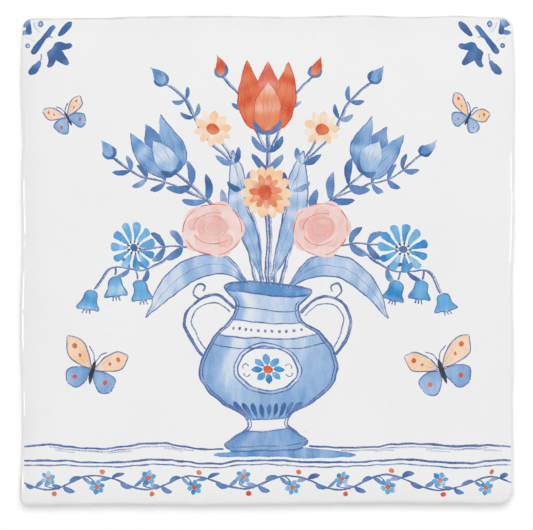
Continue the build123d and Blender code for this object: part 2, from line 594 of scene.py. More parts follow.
slope = np.concatenate((np.sin(turns), np.ones(SIDE_STEPS), np.zeros(BEVEL_STEPS)))[:, None]
below_roll = np.maximum(roll_level[-1] - edge_level, 0)
bare_patches = eased(BARE_MEAN + BARE_VARIES * ripple(*ring.T, BARE_PATCH, seed=33))
painted_shade_stretch = SHADED_STRETCH[2] * edge_stretch(-1, *SHADED_STRETCH[:2])
bare_and_shaded = np.maximum(by_side(BARE_SIDES) * bare_patches, painted_shade_stretch)
edge_arris_and_shade = eased((slope - BARE_TURN[0]) / np.ptp(BARE_TURN)) * np.exp(-below_roll / ARRIS_FADES) * bare_and_shaded
print("The arris is bare by", edge_arris_and_shade.max().round(2), "at most")

# %% Dull and shining edge, and painted light at the foot of the roll
DULL_SIDES = (0.5, 1.0, 0.5, 1.0)
DULL_TURN = 0.15  # sine of the slope where the edge is fully dull
DULL_ENDS = (0.55, 0.85)  # and where it starts to shine again, and does
SHINING = {  # stretches along Y where the west edge and the east edge have kept their shine
    -1: (
        (-69.9, -64.4),
        (-47.0, -39.5),
        (-27.4, -15.9),
        (-15.2, -3.3),
        (4.0, 6.1),
        (7.9, 16.0),
        (16.4, 24.3),
    ),
    1: ((-0.6, 32.8),),
}
# Painted light: the glaze at the foot of the rolled edge is whitened, most on the east, less on the west.
FOOT_LIGHT_SIDES = (0.0, 1.0, 0.0, 0.4)  # how much glaze ran over: north, east, south and west
FOOT_LIGHT_TURN = (0.5, 0.9)  # sine of the slope where it starts to lie thick, and where it does

kept_shine = np.zeros(len(ring))
for side, stretches in SHINING.items():
    for start, end in stretches:
        kept_shine = np.maximum(kept_shine, edge_stretch(side, start, end))
dull_band = eased(slope / DULL_TURN) * eased((DULL_ENDS[1] - slope) / np.ptp(DULL_ENDS))
edge_dull = dull_band * by_side(DULL_SIDES) * (1 - kept_shine)
edge_foot_light = eased((slope - FOOT_LIGHT_TURN[0]) / np.ptp(FOOT_LIGHT_TURN)) * by_side(FOOT_LIGHT_SIDES)
print("The edge shines along", round(kept_shine.mean() * 100), "% of the rim")

# %% Facts of the face, and a mesh that carries them
# Painted shade: the face is greyed towards its rim, most on the west and south, where shade falls.
SHADE_SIDES = (0.4, 0.1, 0.85, 1.0)  # how grey the face is at its rim: north, east, south and west
SHADE_REACH = 5.2
SHADE_PATCH = 14.0  # wave length of its unevenness, with its mean and its height
SHADE_MEAN = 0.85
SHADE_VARIES = 0.15


def painted_rim_shade(plan):
    """How much painted shade greys the glaze at a place: the largest of four, each a side's share times a
    bell over the distance from that side, made uneven by a ripple."""
    x, y = plan[..., 0], plan[..., 1]
    distances = np.stack((high[1] - y, high[0] - x, y - low[1], x - low[0]), axis=-1)
    most_shade = (np.array(SHADE_SIDES) * np.exp(-((distances / SHADE_REACH) ** 2))).max(axis=-1)
    return most_shade * (SHADE_MEAN + SHADE_VARIES * ripple(x, y, SHADE_PATCH, seed=34))


bare_face = np.zeros(face_ids.size)
bare_back = np.zeros(back_ids.size)
slab_facts = {  # of the face, of the edge between its borders, and of the back
    "cover": (bare_face + 1, edge_cover[1:-1], bare_back),
    "arris_and_shade": (bare_face, edge_arris_and_shade[1:-1], bare_back),
    "dull": (bare_face, edge_dull[1:-1], bare_back),
    "painted_foot_light": (bare_face, edge_foot_light[1:-1], bare_back),
    "painted_shade": (painted_rim_shade(face_plan), (painted_rim_shade(edge_plan) * (1 - slope**2))[1:-1], bare_back),
    "keyed": (bare_face, np.zeros(edge_ids.size), back_level / GROOVE_DEPTH),
}


def new_piece(name, points, faces, facts, material):
    """A smooth mesh object at the origin from points in mm, its faces, and a value per point for each
    fact. It rides with the tile and takes the material that it is given."""
    mesh = bpy.data.meshes.new(name)
    mesh.from_pydata((points * MM).tolist(), [], faces)
    mesh.polygons.foreach_set("use_smooth", np.ones(len(mesh.polygons), dtype=bool))
    for fact, values in facts.items():
        mesh.attributes.new(fact, "FLOAT", "POINT").data.foreach_set("value", values.astype(np.float32))
    mesh.materials.append(material)
    mesh.validate()
    piece = bpy.data.objects.new(name, mesh)
    bpy.context.collection.objects.link(piece)
    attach(piece, BODY)
    return piece


print("Facts of the slab:", ", ".join(slab_facts))

# %% [markdown]
# ## The white glaze
#
# Tin-white glaze is nearly neutral, a touch greyer where it pools and warmer where it is thin, with a few
# pin specks, and it shines. Every painted mark lies in the same glaze, so its colour, roughness and fine
# relief are one node group that each material places. Colours could also be painted on the vertices, but
# noise in the object's own coordinates holds detail finer than any mesh.

# %% Node group: fired glaze
GLAZE_WHITE = linear(238, 238, 238)
GLAZE_POOLED = linear(236, 236, 236)
GLAZE_SPECK = linear(214, 210, 204)
# painted shade: the grey that the glaze is given towards the rim
PAINTED_RIM_SHADE = linear(231, 230, 230)  # towards the rim
# painted light: the white given to the foot of the rolled edge
PAINTED_FOOT_LIGHT = linear(252, 252, 252)
POOLING_WAVES = 32.0  # of the noises, in waves to the metre
SPECK_WAVES = 900.0
GLOSS_WAVES = 140.0
RELIEF_WAVES = 260.0
GLAZE_ROUGHNESS = (0.07, 0.13)
NOISE_ROUGHNESS = 0.55


def new_group(name, inputs, outputs):
    """An empty node group with its sockets. Returns the tree, its input sockets and its output node."""
    tree = bpy.data.node_groups.new(name, "ShaderNodeTree")
    for label, kind in inputs:
        tree.interface.new_socket(label, in_out="INPUT", socket_type=kind)
    for label, kind in outputs:
        tree.interface.new_socket(label, in_out="OUTPUT", socket_type=kind)
    return tree, add(tree, "NodeGroupInput").outputs, add(tree, "NodeGroupOutput")


def noise(tree, waves, detail=2.0, stretch_by=(1.0, 1.0, 1.0)):
    """Noise in the object's own coordinates, with waves to the metre, stretched along an axis if wanted."""
    places = add(tree, "ShaderNodeTexCoord").outputs["Object"]
    scaled = add(tree, "ShaderNodeMapping", {"Vector": places, "Scale": stretch_by}).outputs[0]
    inputs = {"Vector": scaled, "Scale": waves, "Detail": detail, "Roughness": NOISE_ROUGHNESS}
    return add(tree, "ShaderNodeTexNoise", inputs).outputs["Fac"]


glaze_group, _, glaze_out = new_group(
    "fired_glaze",
    (),
    (("Color", "NodeSocketColor"), ("Roughness", "NodeSocketFloat"), ("Height", "NodeSocketFloat")),
)
pooled = stretch(glaze_group, noise(glaze_group, POOLING_WAVES, 3.0), (0.35, 0.65), (0.0, 1.0))
plain_white = blend(glaze_group, pooled, GLAZE_WHITE, GLAZE_POOLED)
specks = stretch(glaze_group, noise(glaze_group, SPECK_WAVES, 1.0), (0.74, 0.80), (0.0, 0.5))
glaze_colour = blend(glaze_group, specks, plain_white, GLAZE_SPECK)
gloss = stretch(glaze_group, noise(glaze_group, GLOSS_WAVES, 3.0), (0.3, 0.7), GLAZE_ROUGHNESS)
fine_relief = noise(glaze_group, RELIEF_WAVES, 2.0)
for label, socket in (("Color", glaze_colour), ("Roughness", gloss), ("Height", fine_relief)):
    glaze_group.links.new(socket, glaze_out.inputs[label])
print("Node group", glaze_group.name, "with", len(glaze_group.nodes), "nodes")

# %% What every glazed material has
GLAZE_RELIEF = 0.02 * MM
GLAZE_RELIEF_SHARE = 0.6
GLAZE_IOR = 1.5


def attribute(tree, name):
    """A value stored on the mesh."""
    return add(tree, "ShaderNodeAttribute", attribute_name=name).outputs["Fac"]


def relief_normal(tree, height):
    """The normal that the glaze's fine relief gives."""
    inputs = {"Height": height, "Distance": GLAZE_RELIEF, "Strength": GLAZE_RELIEF_SHARE}
    return add(tree, "ShaderNodeBump", inputs).outputs[0]


def shiny(tree, colour, roughness, normal):
    """Ends a material's tree with a glassy surface of that colour, roughness and normal."""
    inputs = {"Base Color": colour, "Roughness": roughness, "Normal": normal, "IOR": GLAZE_IOR}
    shader = add(tree, "ShaderNodeBsdfPrincipled", inputs)
    add(tree, "ShaderNodeOutputMaterial", {"Surface": shader.outputs[0]})


print("Fine relief of the glaze:", GLAZE_RELIEF / MM, "mm")

# %% Material: glazed tile with a bare clay back
CLAY_LIGHT = linear(226, 214, 196)
CLAY_DARK = linear(203, 186, 164)
CLAY_IN_GROOVES = linear(188, 174, 156)
CLAY_SPECK = linear(150, 118, 92)
# warm clay of a bare arris, also used as painted shade on a stretch of the west edge
ARRIS_WARM_AND_SHADE = linear(201, 189, 190)
DULL_ROUGHNESS = 0.9
CLAY_ROUGHNESS = (0.82, 0.95)
CLAY_RELIEF = 0.10 * MM
GROOVE_TONE_MOST = 0.7
WANDER_WAVES = 420.0  # of the noises, in waves to the metre
MOTTLE_WAVES = 120.0
IRON_WAVES = 1500.0
CLAY_GRAIN_WAVES = 1100.0


def glazed_tile_material():
    """Glaze where the mesh says that it covers the clay, with painted shade near the rim, thin and warm at
    the arris with a stretch of painted shade there, whitened by painted light at the foot of the rolled edge,
    and dull in places, and bare clay elsewhere, darker in the grooves."""
    material = new_material("glazed_tile")
    tree = material.node_tree
    glaze = add(tree, "ShaderNodeGroup", node_tree=glaze_group).outputs
    cover = attribute(tree, "cover")
    # painted shade greys the glaze towards the rim
    shaded_glaze = blend(tree, attribute(tree, "painted_shade"), glaze["Color"], PAINTED_RIM_SHADE)
    # painted light whitens the glaze at the foot of the rolled edge
    foot_lit_glaze = blend(tree, attribute(tree, "painted_foot_light"), shaded_glaze, PAINTED_FOOT_LIGHT)
    wander = stretch(tree, noise(tree, WANDER_WAVES, 3.0), (0.3, 0.7), (0.4, 1.0))
    # thin warm glaze at the arris, and painted shade on a stretch of the west edge
    thin = arithmetic(tree, "MULTIPLY", attribute(tree, "arris_and_shade"), wander)
    warm_and_shaded = blend(tree, thin, foot_lit_glaze, ARRIS_WARM_AND_SHADE)
    clay_mottle = stretch(tree, noise(tree, MOTTLE_WAVES, 5.0), (0.35, 0.65), (0.0, 1.0))
    clay = blend(tree, clay_mottle, CLAY_LIGHT, CLAY_DARK)
    # the clay is darker in the grooves of the back, by their depth
    groove_tone = arithmetic(tree, "MULTIPLY", attribute(tree, "keyed"), GROOVE_TONE_MOST)
    clay = blend(tree, groove_tone, clay, CLAY_IN_GROOVES)
    iron = stretch(tree, noise(tree, IRON_WAVES, 1.0), (0.70, 0.76), (0.0, 0.8))
    clay = blend(tree, iron, clay, CLAY_SPECK)
    colour = blend(tree, cover, clay, warm_and_shaded)
    clay_rough = stretch(tree, clay_mottle, (0.0, 1.0), CLAY_ROUGHNESS)
    worn = add(tree, "ShaderNodeMix", {0: attribute(tree, "dull"), 2: glaze["Roughness"], 3: DULL_ROUGHNESS})
    rough_mix = add(tree, "ShaderNodeMix", {0: cover, 2: clay_rough, 3: worn.outputs[0]})
    clay_grain = noise(tree, CLAY_GRAIN_WAVES, 4.0)
    grain = add(tree, "ShaderNodeBump", {"Height": clay_grain, "Distance": CLAY_RELIEF})
    uncovered = arithmetic(tree, "SUBTRACT", 1.0, cover)
    tree.links.new(uncovered, grain.inputs["Strength"])
    tree.links.new(relief_normal(tree, glaze["Height"]), grain.inputs["Normal"])
    shiny(tree, colour, rough_mix.outputs[0], grain.outputs[0])
    return material


flat_facts = {fact: np.concatenate([part.ravel() for part in parts]) for fact, parts in slab_facts.items()}
slab = new_piece("glazed_tile", slab_points, slab_faces.tolist(), flat_facts, glazed_tile_material())
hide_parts("tile")
print("Piece", slab.name, "stands for the solid")

# %% [markdown]
# ## Paint in the glaze
#
# A painted mark is colour that has sunk into the glaze, with hardly any thickness. It could be a texture
# on the slab, but a texture has one sharpness everywhere, and thin lines need far more than a plain face
# does. So each mark is a skin of its own: a grid of two parameters, along the mark and across it, laid on
# the height of the glaze. It swells a few hundredths of a millimetre in its middle, its border dips under
# the glaze, and its underside closes it. How much pigment lies at each point is stored with it as its
# load.

# %% A skin of paint on the glaze
SINK = 0.012  # how far a mark's border lies under the glaze
LIFT = {  # of the layers, from below
    "wash": 0.012,
    "stem": 0.016,
    "leaf": 0.019,
    "petal": 0.024,
    "front": 0.028,
    "line": 0.032,
    "over": 0.037,
}
BORDER_STEP = 0.35  # how far from its border a mark reaches its full lift
NEXT_LIFT = 0.0004  # a mark lies this much over the one before it in its piece
LIFT_ROUND = 9  # after so many marks the lifts start again
HAND_LONG = (24.0, 0.38)  # the hand wavers: wave length and reach
HAND_SHORT = (5.0, 0.08)
STEADY_BORDER = 9.0  # within this of the edge the hand grows steady
RIM_MARGIN = 0.35  # marks end this far inside the rim

paint = {}  # the skins of each painted piece


def by_hand(x, y, waver):
    """Places moved as a wavering hand moves them, by a long and a short ripple in each direction, and
    then kept inside the rim."""
    reach = waver * np.clip(room_to_box(x, y) / STEADY_BORDER, 0, 1)
    moved = [
        HAND_LONG[1] * ripple(x, y, HAND_LONG[0], seed)
        + HAND_SHORT[1] * ripple(x, y, HAND_SHORT[0], seed + 1)
        for seed in (41, 43)
    ]
    x, y = x + reach * moved[0], y + reach * moved[1]
    edge, closest, gap = near_rim(x, y)
    push = np.maximum(RIM_MARGIN - gap, 0)[:, None] * rim_inward[closest]
    x[edge] += push[:, 0]
    y[edge] += push[:, 1]
    return x, y


def skin(piece, x, y, load, layer, waver=1.0):
    """One mark from its grid of places, mm, and its load at each. The top follows the glaze. It starts
    under it at the border and rises to the layer's lift in a rounded step, and the underside runs below
    the glaze. Each row of the grid becomes a closed loop, the loops are joined by faces, and two end
    faces close the skin."""
    turned = np.gradient(x, axis=0) * np.gradient(y, axis=1) - np.gradient(y, axis=0) * np.gradient(x, axis=1)
    if turned.sum() < 0:
        x, y, load = x[:, ::-1], y[:, ::-1], load[:, ::-1]
    x, y = by_hand(x, y, waver)
    rows, columns = x.shape
    glaze = glaze_height(x, y)
    half = np.hypot(x[:, -1] - x[:, 0], y[:, -1] - y[:, 0])[:, None] / 2 + 1e-6
    from_border = half * (1 - np.abs(np.sin(np.linspace(-np.pi / 2, np.pi / 2, columns))))
    body = 1 - (1 - np.clip(from_border / np.minimum(BORDER_STEP, half), 0, 1)) ** 2
    body[[0, -1]] = 0
    marks = paint.setdefault(piece, [])
    top = glaze + (LIFT[layer] + NEXT_LIFT * (len(marks) % LIFT_ROUND) + SINK) * body - SINK
    under = np.arange(columns - 2, 0, -2)
    loop = np.concatenate((np.arange(columns), under))
    heights = np.concatenate((top, glaze[:, under] - 2 * SINK), axis=1)
    points = np.stack((x[:, loop], y[:, loop], heights), axis=-1)
    ids = np.arange(rows * len(loop)).reshape(rows, -1)
    walls = grid_faces(np.concatenate((ids, ids[:, :1]), axis=1).T)
    ends = np.stack((ids[0], ids[-1, ::-1]))
    marks.append((points.reshape(-1, 3), walls, ends, load[:, loop].ravel()))


print("Layers of paint, from below:", ", ".join(LIFT))

# %% A piece from its skins
def paint_piece(name, material):
    """All skins of one painted piece as one mesh. Its flat map gives each mark its own place on the tile's
    square.
    """
    parts = paint.pop(name)
    starts = np.concatenate(([0], np.cumsum([len(points) for points, *_ in parts])))
    faces = []
    for start, (_, walls, ends, _) in zip(starts, parts):
        faces += (walls + start).tolist() + (ends + start).tolist()
    points = np.concatenate([part[0] for part in parts])
    load = np.concatenate([part[3] for part in parts])
    piece = new_piece(name, points, faces, {"load": load}, material)
    corner_vertices = np.empty(len(piece.data.loops), dtype=np.int32)
    piece.data.loops.foreach_get("vertex_index", corner_vertices)
    flat_map = (points[corner_vertices, :2] - low[:2]) / tile_size[:2]
    piece.data.uv_layers.new(name="OFBake").uv.foreach_set("vector", flat_map.astype(np.float32).ravel())
    triangles = sum(len(face) - 2 for face in faces)
    print(name, "of", len(parts), "skins and", triangles, "triangles")
    return piece


print("Skins laid so far:", sum(len(marks) for marks in paint.values()))

# %% [markdown]
# ## Pen and brush
#
# Every painted shape is the skin between two lines. For a pen line or a single stroke of the brush they
# lie half a width to each side of a path, and the width follows a swell, which is even for a pen, pointed
# at both ends for a leaf, and blunt at the tip for a petal. For a larger shape the two lines are its two
# borders. Lines are smooth curves through a few points, and all borders are roughened, as a dry brush or
# crayon on a fired surface leaves them.

# %% Paths and swells
LINE_STEP = 0.45  # mm between the cross lines of a mark
FEWEST_STEPS = 8
CURVE_SAMPLES = 24  # for each point that a path is given by


def pen_path(points, step=LINE_STEP):
    """The smooth curve through some points at even steps: cubic pieces that leave each point in the
    direction of its neighbours, evened out by arc length."""
    knots = np.asarray(points, dtype=float)
    stations = np.concatenate(([0.0], np.cumsum(np.linalg.norm(np.diff(knots, axis=0), axis=1) ** 0.5)))
    slopes = np.gradient(knots, stations, axis=0)
    at = np.linspace(0, stations[-1], CURVE_SAMPLES * len(knots))
    k = np.clip(np.searchsorted(stations, at, side="right") - 1, 0, len(knots) - 2)
    gap = (stations[k + 1] - stations[k])[:, None]
    s = (at[:, None] - stations[k][:, None]) / gap
    curve = (2 * s**3 - 3 * s**2 + 1) * knots[k] + (s**3 - 2 * s**2 + s) * gap * slopes[k]
    curve += (3 * s**2 - 2 * s**3) * knots[k + 1] + (s**3 - s**2) * gap * slopes[k + 1]
    steps = max(FEWEST_STEPS, int(np.ceil(lengths_along(curve)[-1] / step)))
    return at_shares(curve, np.linspace(0, 1, steps + 1))


def even(share):
    """A pen's swell: the same all along."""
    return np.ones_like(share)


def lens(share):
    """A leaf's swell: pointed at both ends."""
    return np.sin(np.pi * share) ** 0.65


def drop(share):
    """A teardrop's swell: pointed where it starts and fattest two thirds of the way along."""
    return np.sin(np.pi * share**1.8) ** 0.75


def petal(share):
    """A petal's swell: it starts with some width, is fat in its middle and closes in a blunt tip."""
    return 0.25 * (1 - share) + 0.85 * np.sin(np.pi * share**1.15) ** 0.7


print("A petal is widest", np.argmax(petal(np.linspace(0, 1, 101))), "% of the way along")

# %% Strips between two lines
ROUGH = 0.035  # how far borders are ragged, mm
ROUGH_FINE = 1.0  # wave lengths of a ragged border
ROUGH_COARSE = 3.6
ROUGH_EASES = 0.1  # added to half the width, so that the finest lines aren't torn
ROUGH_MOST = 0.6  # the share of half the width that a ragged border may take away
SUNK = (0.15, 0.09)  # a border is under the glaze by this share of half the width, at most by this much
PRESSURE = (6.0, 0.16)  # the brush presses more and less: wave length and share
BORDER_GATHERS = 0.14  # the share of its pigment that a mark has at its borders only
MOST_CELLS = 14  # across half a strip


def strip(piece, one_side, other_side, load, layer, waver=1.0, fade=(1.0, 1.0), rough=1.0, cell=0.6):
    """The skin between two lines of as many points: cross lines run straight from one to the other, ragged
    at both ends. The load fades from start to end and gathers a little at the borders."""
    middle = (one_side + other_side) / 2
    reach = (other_side - one_side) / 2
    half = np.linalg.norm(reach, axis=1)
    reach *= 1 + np.minimum(SUNK[0], SUNK[1] / half)[:, None]
    columns = 2 * int(np.clip(half.max() / cell, 1, MOST_CELLS)) + 3
    offset = np.sin(np.linspace(-np.pi / 2, np.pi / 2, columns))
    jags = [
        ripple(*middle.T, ROUGH_FINE, seed) + ripple(*middle.T, ROUGH_COARSE, seed + 1)
        for seed in (51, 53)
    ]
    ragged = 1 + np.maximum(rough * ROUGH / (half + ROUGH_EASES) * np.array(jags), -ROUGH_MOST)
    share_out = offset * np.where(offset < 0, ragged[0][:, None], ragged[1][:, None])
    x = middle[:, :1] + reach[:, :1] * share_out
    y = middle[:, 1:] + reach[:, 1:] * share_out
    pressure = 1 + PRESSURE[1] * ripple(*middle.T, PRESSURE[0], seed=55)
    pressure = pressure * np.interp(np.linspace(0, 1, len(middle)), np.linspace(0, 1, len(fade)), fade)
    gathered = 1 - BORDER_GATHERS + BORDER_GATHERS * offset**2
    skin(piece, x, y, load * pressure[:, None] * gathered, layer, waver)


print("Borders are ragged by about", ROUGH, "mm")

# %% Marks and filled shapes
LEAST_HALF = 0.07  # a stroke's ends keep this share of half its width
BLUNT_END = 0.12  # a filled shape starts and ends by this angle short of its ends, in radians


def mark(piece, points, width, swell=even, load=1.0, layer="line", step=LINE_STEP, **brush):
    """A stroke of pen or brush: half the width to each side of a path, times the swell, with round ends."""
    path = pen_path(points, step)
    run = lengths_along(path)
    along = np.gradient(path, axis=0)
    along /= np.linalg.norm(along, axis=1, keepdims=True)
    to_end = np.clip(np.minimum(run, run[-1] - run) / (width / 2), 0, 1)
    half = width / 2 * np.clip(swell(run / run[-1]) * np.sqrt(1 - (1 - to_end) ** 2), LEAST_HALF, None)
    across = np.stack((-along[:, 1], along[:, 0]), axis=1) * half[:, None]
    strip(piece, path - across, path + across, load, layer, **brush)


def filled(piece, one_side, other_side, load=1.0, layer="petal", step=LINE_STEP, **brush):
    """A shape between two smooth borders that start and end together. Its cross lines crowd at both ends,
    where the shape is blunt."""
    borders = [pen_path(points, step) for points in (one_side, other_side)]
    rows = max(len(border) for border in borders)
    shares = (1 - np.cos(np.linspace(BLUNT_END, np.pi - BLUNT_END, rows))) / 2
    strip(piece, *(at_shares(border, shares) for border in borders), load, layer, **brush)


def placed(points, at, turn=0.0, scale=1.0, side=1):
    """A motif's points scaled, mirrored for side -1, turned counterclockwise in degrees, and moved."""
    spots = np.asarray(points, dtype=float) * scale
    cos, sin = np.cos(np.radians(turn)), np.sin(np.radians(turn))
    x, y = spots[:, 0] * side, spots[:, 1]
    return np.stack((at[0] + cos * x - sin * y, at[1] + sin * x + cos * y), axis=1)


print("A quarter turn takes (1, 0) to", placed(((1, 0),), (0, 0), turn=90)[0].round(3))

# %% [markdown]
# ## Pigments
#
# Cobalt blue goes from a pale wash to nearly navy as more of it lies in the glaze, so a pigment has a
# thin and a full colour, and the load decides between the bare glaze and these two. Where the kiln has
# cleared it, the full colour turns in blotches to a third, clearer one. Grain breaks a line up as a
# crayon does, and streaks leave a wash uneven. A pen and a full brush differ only in how much they have
# of each, so both effects are one node group, and every pigment is made by one function.

# %% Node group: brush grain
CRAYON_WAVES = 2300.0  # of the noises, in waves to the metre
STREAK_WAVES = 330.0
BLOTCH_WAVES = 290.0
STREAK_STRETCH = (1.0, 0.35, 1.0)  # streaks run up and down the picture

grain_group, grain_in, grain_out = new_group(
    "brush_grain",
    (("Load", "NodeSocketFloat"), ("Grain", "NodeSocketFloat"), ("Streak", "NodeSocketFloat")),
    (("Density", "NodeSocketFloat"), ("Blotch", "NodeSocketFloat")),
)
crayon_noise = noise(grain_group, CRAYON_WAVES, 3.0)
streak_noise = noise(grain_group, STREAK_WAVES, 4.0, STREAK_STRETCH)
fine_grain = stretch(grain_group, crayon_noise, (0.36, 0.66), (0.0, 1.0))
streaks = stretch(grain_group, streak_noise, (0.34, 0.68), (0.0, 1.0))
kept = [
    arithmetic(grain_group, "SUBTRACT", 1.0, arithmetic(grain_group, "MULTIPLY", pattern, grain_in[label]))
    for pattern, label in ((fine_grain, "Grain"), (streaks, "Streak"))
]
density = arithmetic(grain_group, "MULTIPLY", grain_in["Load"], arithmetic(grain_group, "MULTIPLY", *kept))
blotch = stretch(grain_group, noise(grain_group, BLOTCH_WAVES, 3.0), (0.38, 0.62), (0.0, 1.0))
grain_group.links.new(stretch(grain_group, density, (0.0, 1.0), (0.0, 1.0)), grain_out.inputs["Density"])
grain_group.links.new(blotch, grain_out.inputs["Blotch"])
print("Node group", grain_group.name, "with", len(grain_group.nodes), "nodes")

# %% Pigment materials
THIN_RANGE = (0.0, 0.4)  # of the density, from bare glaze to the thin colour
FULL_RANGE = (0.25, 0.85)  # and from the thin colour to the full one
PIGMENTS = {  # thin colour, full colour, the clearer colour of its blotches, grain, streak
    "cobalt_line": (linear(112, 135, 186), linear(50, 82, 142), linear(46, 90, 152), 0.55, 0.25),
    "cobalt_brush": (linear(106, 148, 202), linear(48, 84, 142), linear(30, 98, 162), 0.20, 0.26),
    "blue_wash": (linear(172, 198, 228), linear(84, 136, 190), linear(74, 140, 200), 0.16, 0.40),
    "orange_red": (linear(233, 150, 108), linear(206, 66, 20), linear(214, 84, 26), 0.12, 0.30),
    "deep_red": (linear(226, 120, 96), linear(190, 36, 20), linear(198, 48, 24), 0.20, 0.20),
    "bright_blue": (linear(120, 186, 226), linear(24, 122, 192), linear(20, 136, 202), 0.12, 0.42),
    "rose_pink": (linear(240, 216, 212), linear(229, 182, 176), linear(232, 176, 168), 0.08, 0.35),
    "peach": (linear(242, 220, 198), linear(241, 192, 134), linear(241, 184, 122), 0.10, 0.40),
    "soft_black": (linear(80, 84, 104), linear(12, 14, 26), linear(18, 18, 30), 0.15, 0.10),
}


def pigment(name):
    """A glaze material tinted by the load: bare glaze, then the thin colour, then the full one or, in
    blotches, the clear one."""
    thin, full, clear, grain, streak = PIGMENTS[name]
    material = new_material(name)
    tree = material.node_tree
    glaze = add(tree, "ShaderNodeGroup", node_tree=glaze_group).outputs
    brush = add(tree, "ShaderNodeGroup", node_tree=grain_group)
    tree.links.new(attribute(tree, "load"), brush.inputs["Load"])
    brush.inputs["Grain"].default_value = grain
    brush.inputs["Streak"].default_value = streak
    density = brush.outputs["Density"]
    tinted = blend(tree, stretch(tree, density, THIN_RANGE, (0.0, 1.0)), glaze["Color"], thin)
    deep = blend(tree, brush.outputs["Blotch"], full, clear)
    colour = blend(tree, stretch(tree, density, FULL_RANGE, (0.0, 1.0)), tinted, deep)
    shiny(tree, colour, glaze["Roughness"], relief_normal(tree, glaze["Height"]))
    return material


pigments = {name: pigment(name) for name in PIGMENTS}
print("Pigments:", ", ".join(pigments))

# %% [markdown]
# ## The corner ornaments
#
# The two top corners carry an old corner ornament, which on a wall joins with its three neighbours into a
# star: a fan in the corner itself, a slanting bar, a three-petalled bud and two side leaves, with small
# rings and scrolls between. The painter turned the same stencil over for the second corner. So the marks
# are given once, in millimetres to the right of and below the corner, and mirrored.

# %% Shapes of the ornament
ORNAMENT_SHAPES = (  # two borders, mm to the right of the corner and below it, with load and fade
    (  # the fan in the corner: a paler wing, a short arm and a dark block
        ((3.05, 1.5), (2.3, 1.4), (1.4, 1.6), (0.6, 2.2), (-0.1, 3.0)),
        ((3.05, 1.5), (2.9, 2.8), (1.9, 3.85), (0.9, 3.6), (-0.1, 3.0)),
        0.58,
        (1.0, 0.85),
    ),
    (
        ((2.4, 5.2), (1.7, 4.55), (0.6, 4.7), (-0.2, 4.9), (-0.4, 5.35)),
        ((2.4, 5.2), (1.8, 5.9), (0.6, 6.0), (-0.2, 5.8), (-0.4, 5.35)),
        0.7,
        (1.2, 0.6),
    ),
    (
        ((2.9, 1.6), (3.1, 2.5), (3.3, 3.8), (3.5, 5.0), (3.3, 5.8), (2.6, 6.0)),
        ((2.9, 1.6), (2.2, 2.6), (1.8, 3.8), (1.65, 5.0), (1.8, 5.75), (2.6, 6.0)),
        1.05,
        (0.6, 0.9, 1.15, 1.1),
    ),
    (  # the slanting bar
        (
            (3.07, 11.2), (3.4, 10.45), (4.3, 9.1), (6.3, 6.85),
            (8.0, 4.75), (9.3, 3.3), (10.1, 3.05), (10.75, 3.75),
        ),
        (
            (3.07, 11.2), (3.5, 11.8), (4.3, 11.95), (5.0, 11.4), (6.3, 9.5), (7.45, 7.85),
            (7.85, 7.15), (8.7, 6.65), (9.75, 5.0), (10.75, 3.75),
        ),
        1.08,
        (1.0, 1.1, 1.05, 1.15, 1.0, 0.65),
    ),
    (  # the leaf above
        ((11.2, 6.1), (11.9, 4.75), (13.4, 2.8), (14.9, 1.95), (15.65, 2.1)),
        ((11.2, 6.1), (11.6, 6.45), (12.4, 6.3), (14.1, 5.0), (15.45, 3.35), (15.65, 2.1)),
        1.08,
        (1.0, 1.1, 0.9),
    ),
    (  # the bud: upper, middle and lower petal
        (
            (7.95, 11.4), (8.5, 10.85), (9.3, 10.3), (9.9, 9.6), (10.3, 8.8), (10.9, 8.25),
            (11.7, 8.05), (12.6, 8.3), (13.8, 8.75), (14.7, 8.45), (15.4, 8.75), (15.7, 9.45),
        ),
        ((7.95, 11.4), (9.3, 12.2), (10.8, 11.7), (12.2, 10.85), (13.8, 10.5), (15.0, 10.15), (15.7, 9.45)),
        1.08,
        (0.95, 1.0, 1.12, 0.85),
    ),
    (
        ((8.8, 11.4), (10.6, 10.3), (12.4, 10.65), (13.4, 12.2), (14.3, 13.75), (14.6, 14.7), (14.1, 15.25)),
        ((8.8, 11.4), (9.6, 13.0), (11.1, 13.9), (12.6, 14.75), (13.5, 15.2), (14.1, 15.25)),
        1.08,
        (1.0, 1.1, 0.95),
    ),
    (
        ((7.95, 11.3), (8.2, 12.2), (8.5, 13.3), (8.4, 14.4), (7.95, 15.3), (8.35, 15.9)),
        ((7.95, 11.3), (9.9, 11.7), (10.7, 13.5), (10.2, 14.6), (9.4, 15.55), (8.35, 15.9)),
        1.08,
        (1.0, 1.1, 0.85),
    ),
    (  # the leaf below
        (
            (6.1, 13.6), (5.4, 13.85), (4.7, 14.5), (3.8, 15.1),
            (3.05, 15.9), (2.45, 16.8), (2.4, 17.6), (3.0, 18.15),
        ),
        ((6.1, 13.6), (6.3, 14.4), (6.1, 15.2), (5.3, 16.85), (4.4, 17.75), (3.0, 18.15)),
        1.08,
        (0.85, 1.05, 1.15),
    ),
)
print(len(ORNAMENT_SHAPES), "shapes in an ornament")

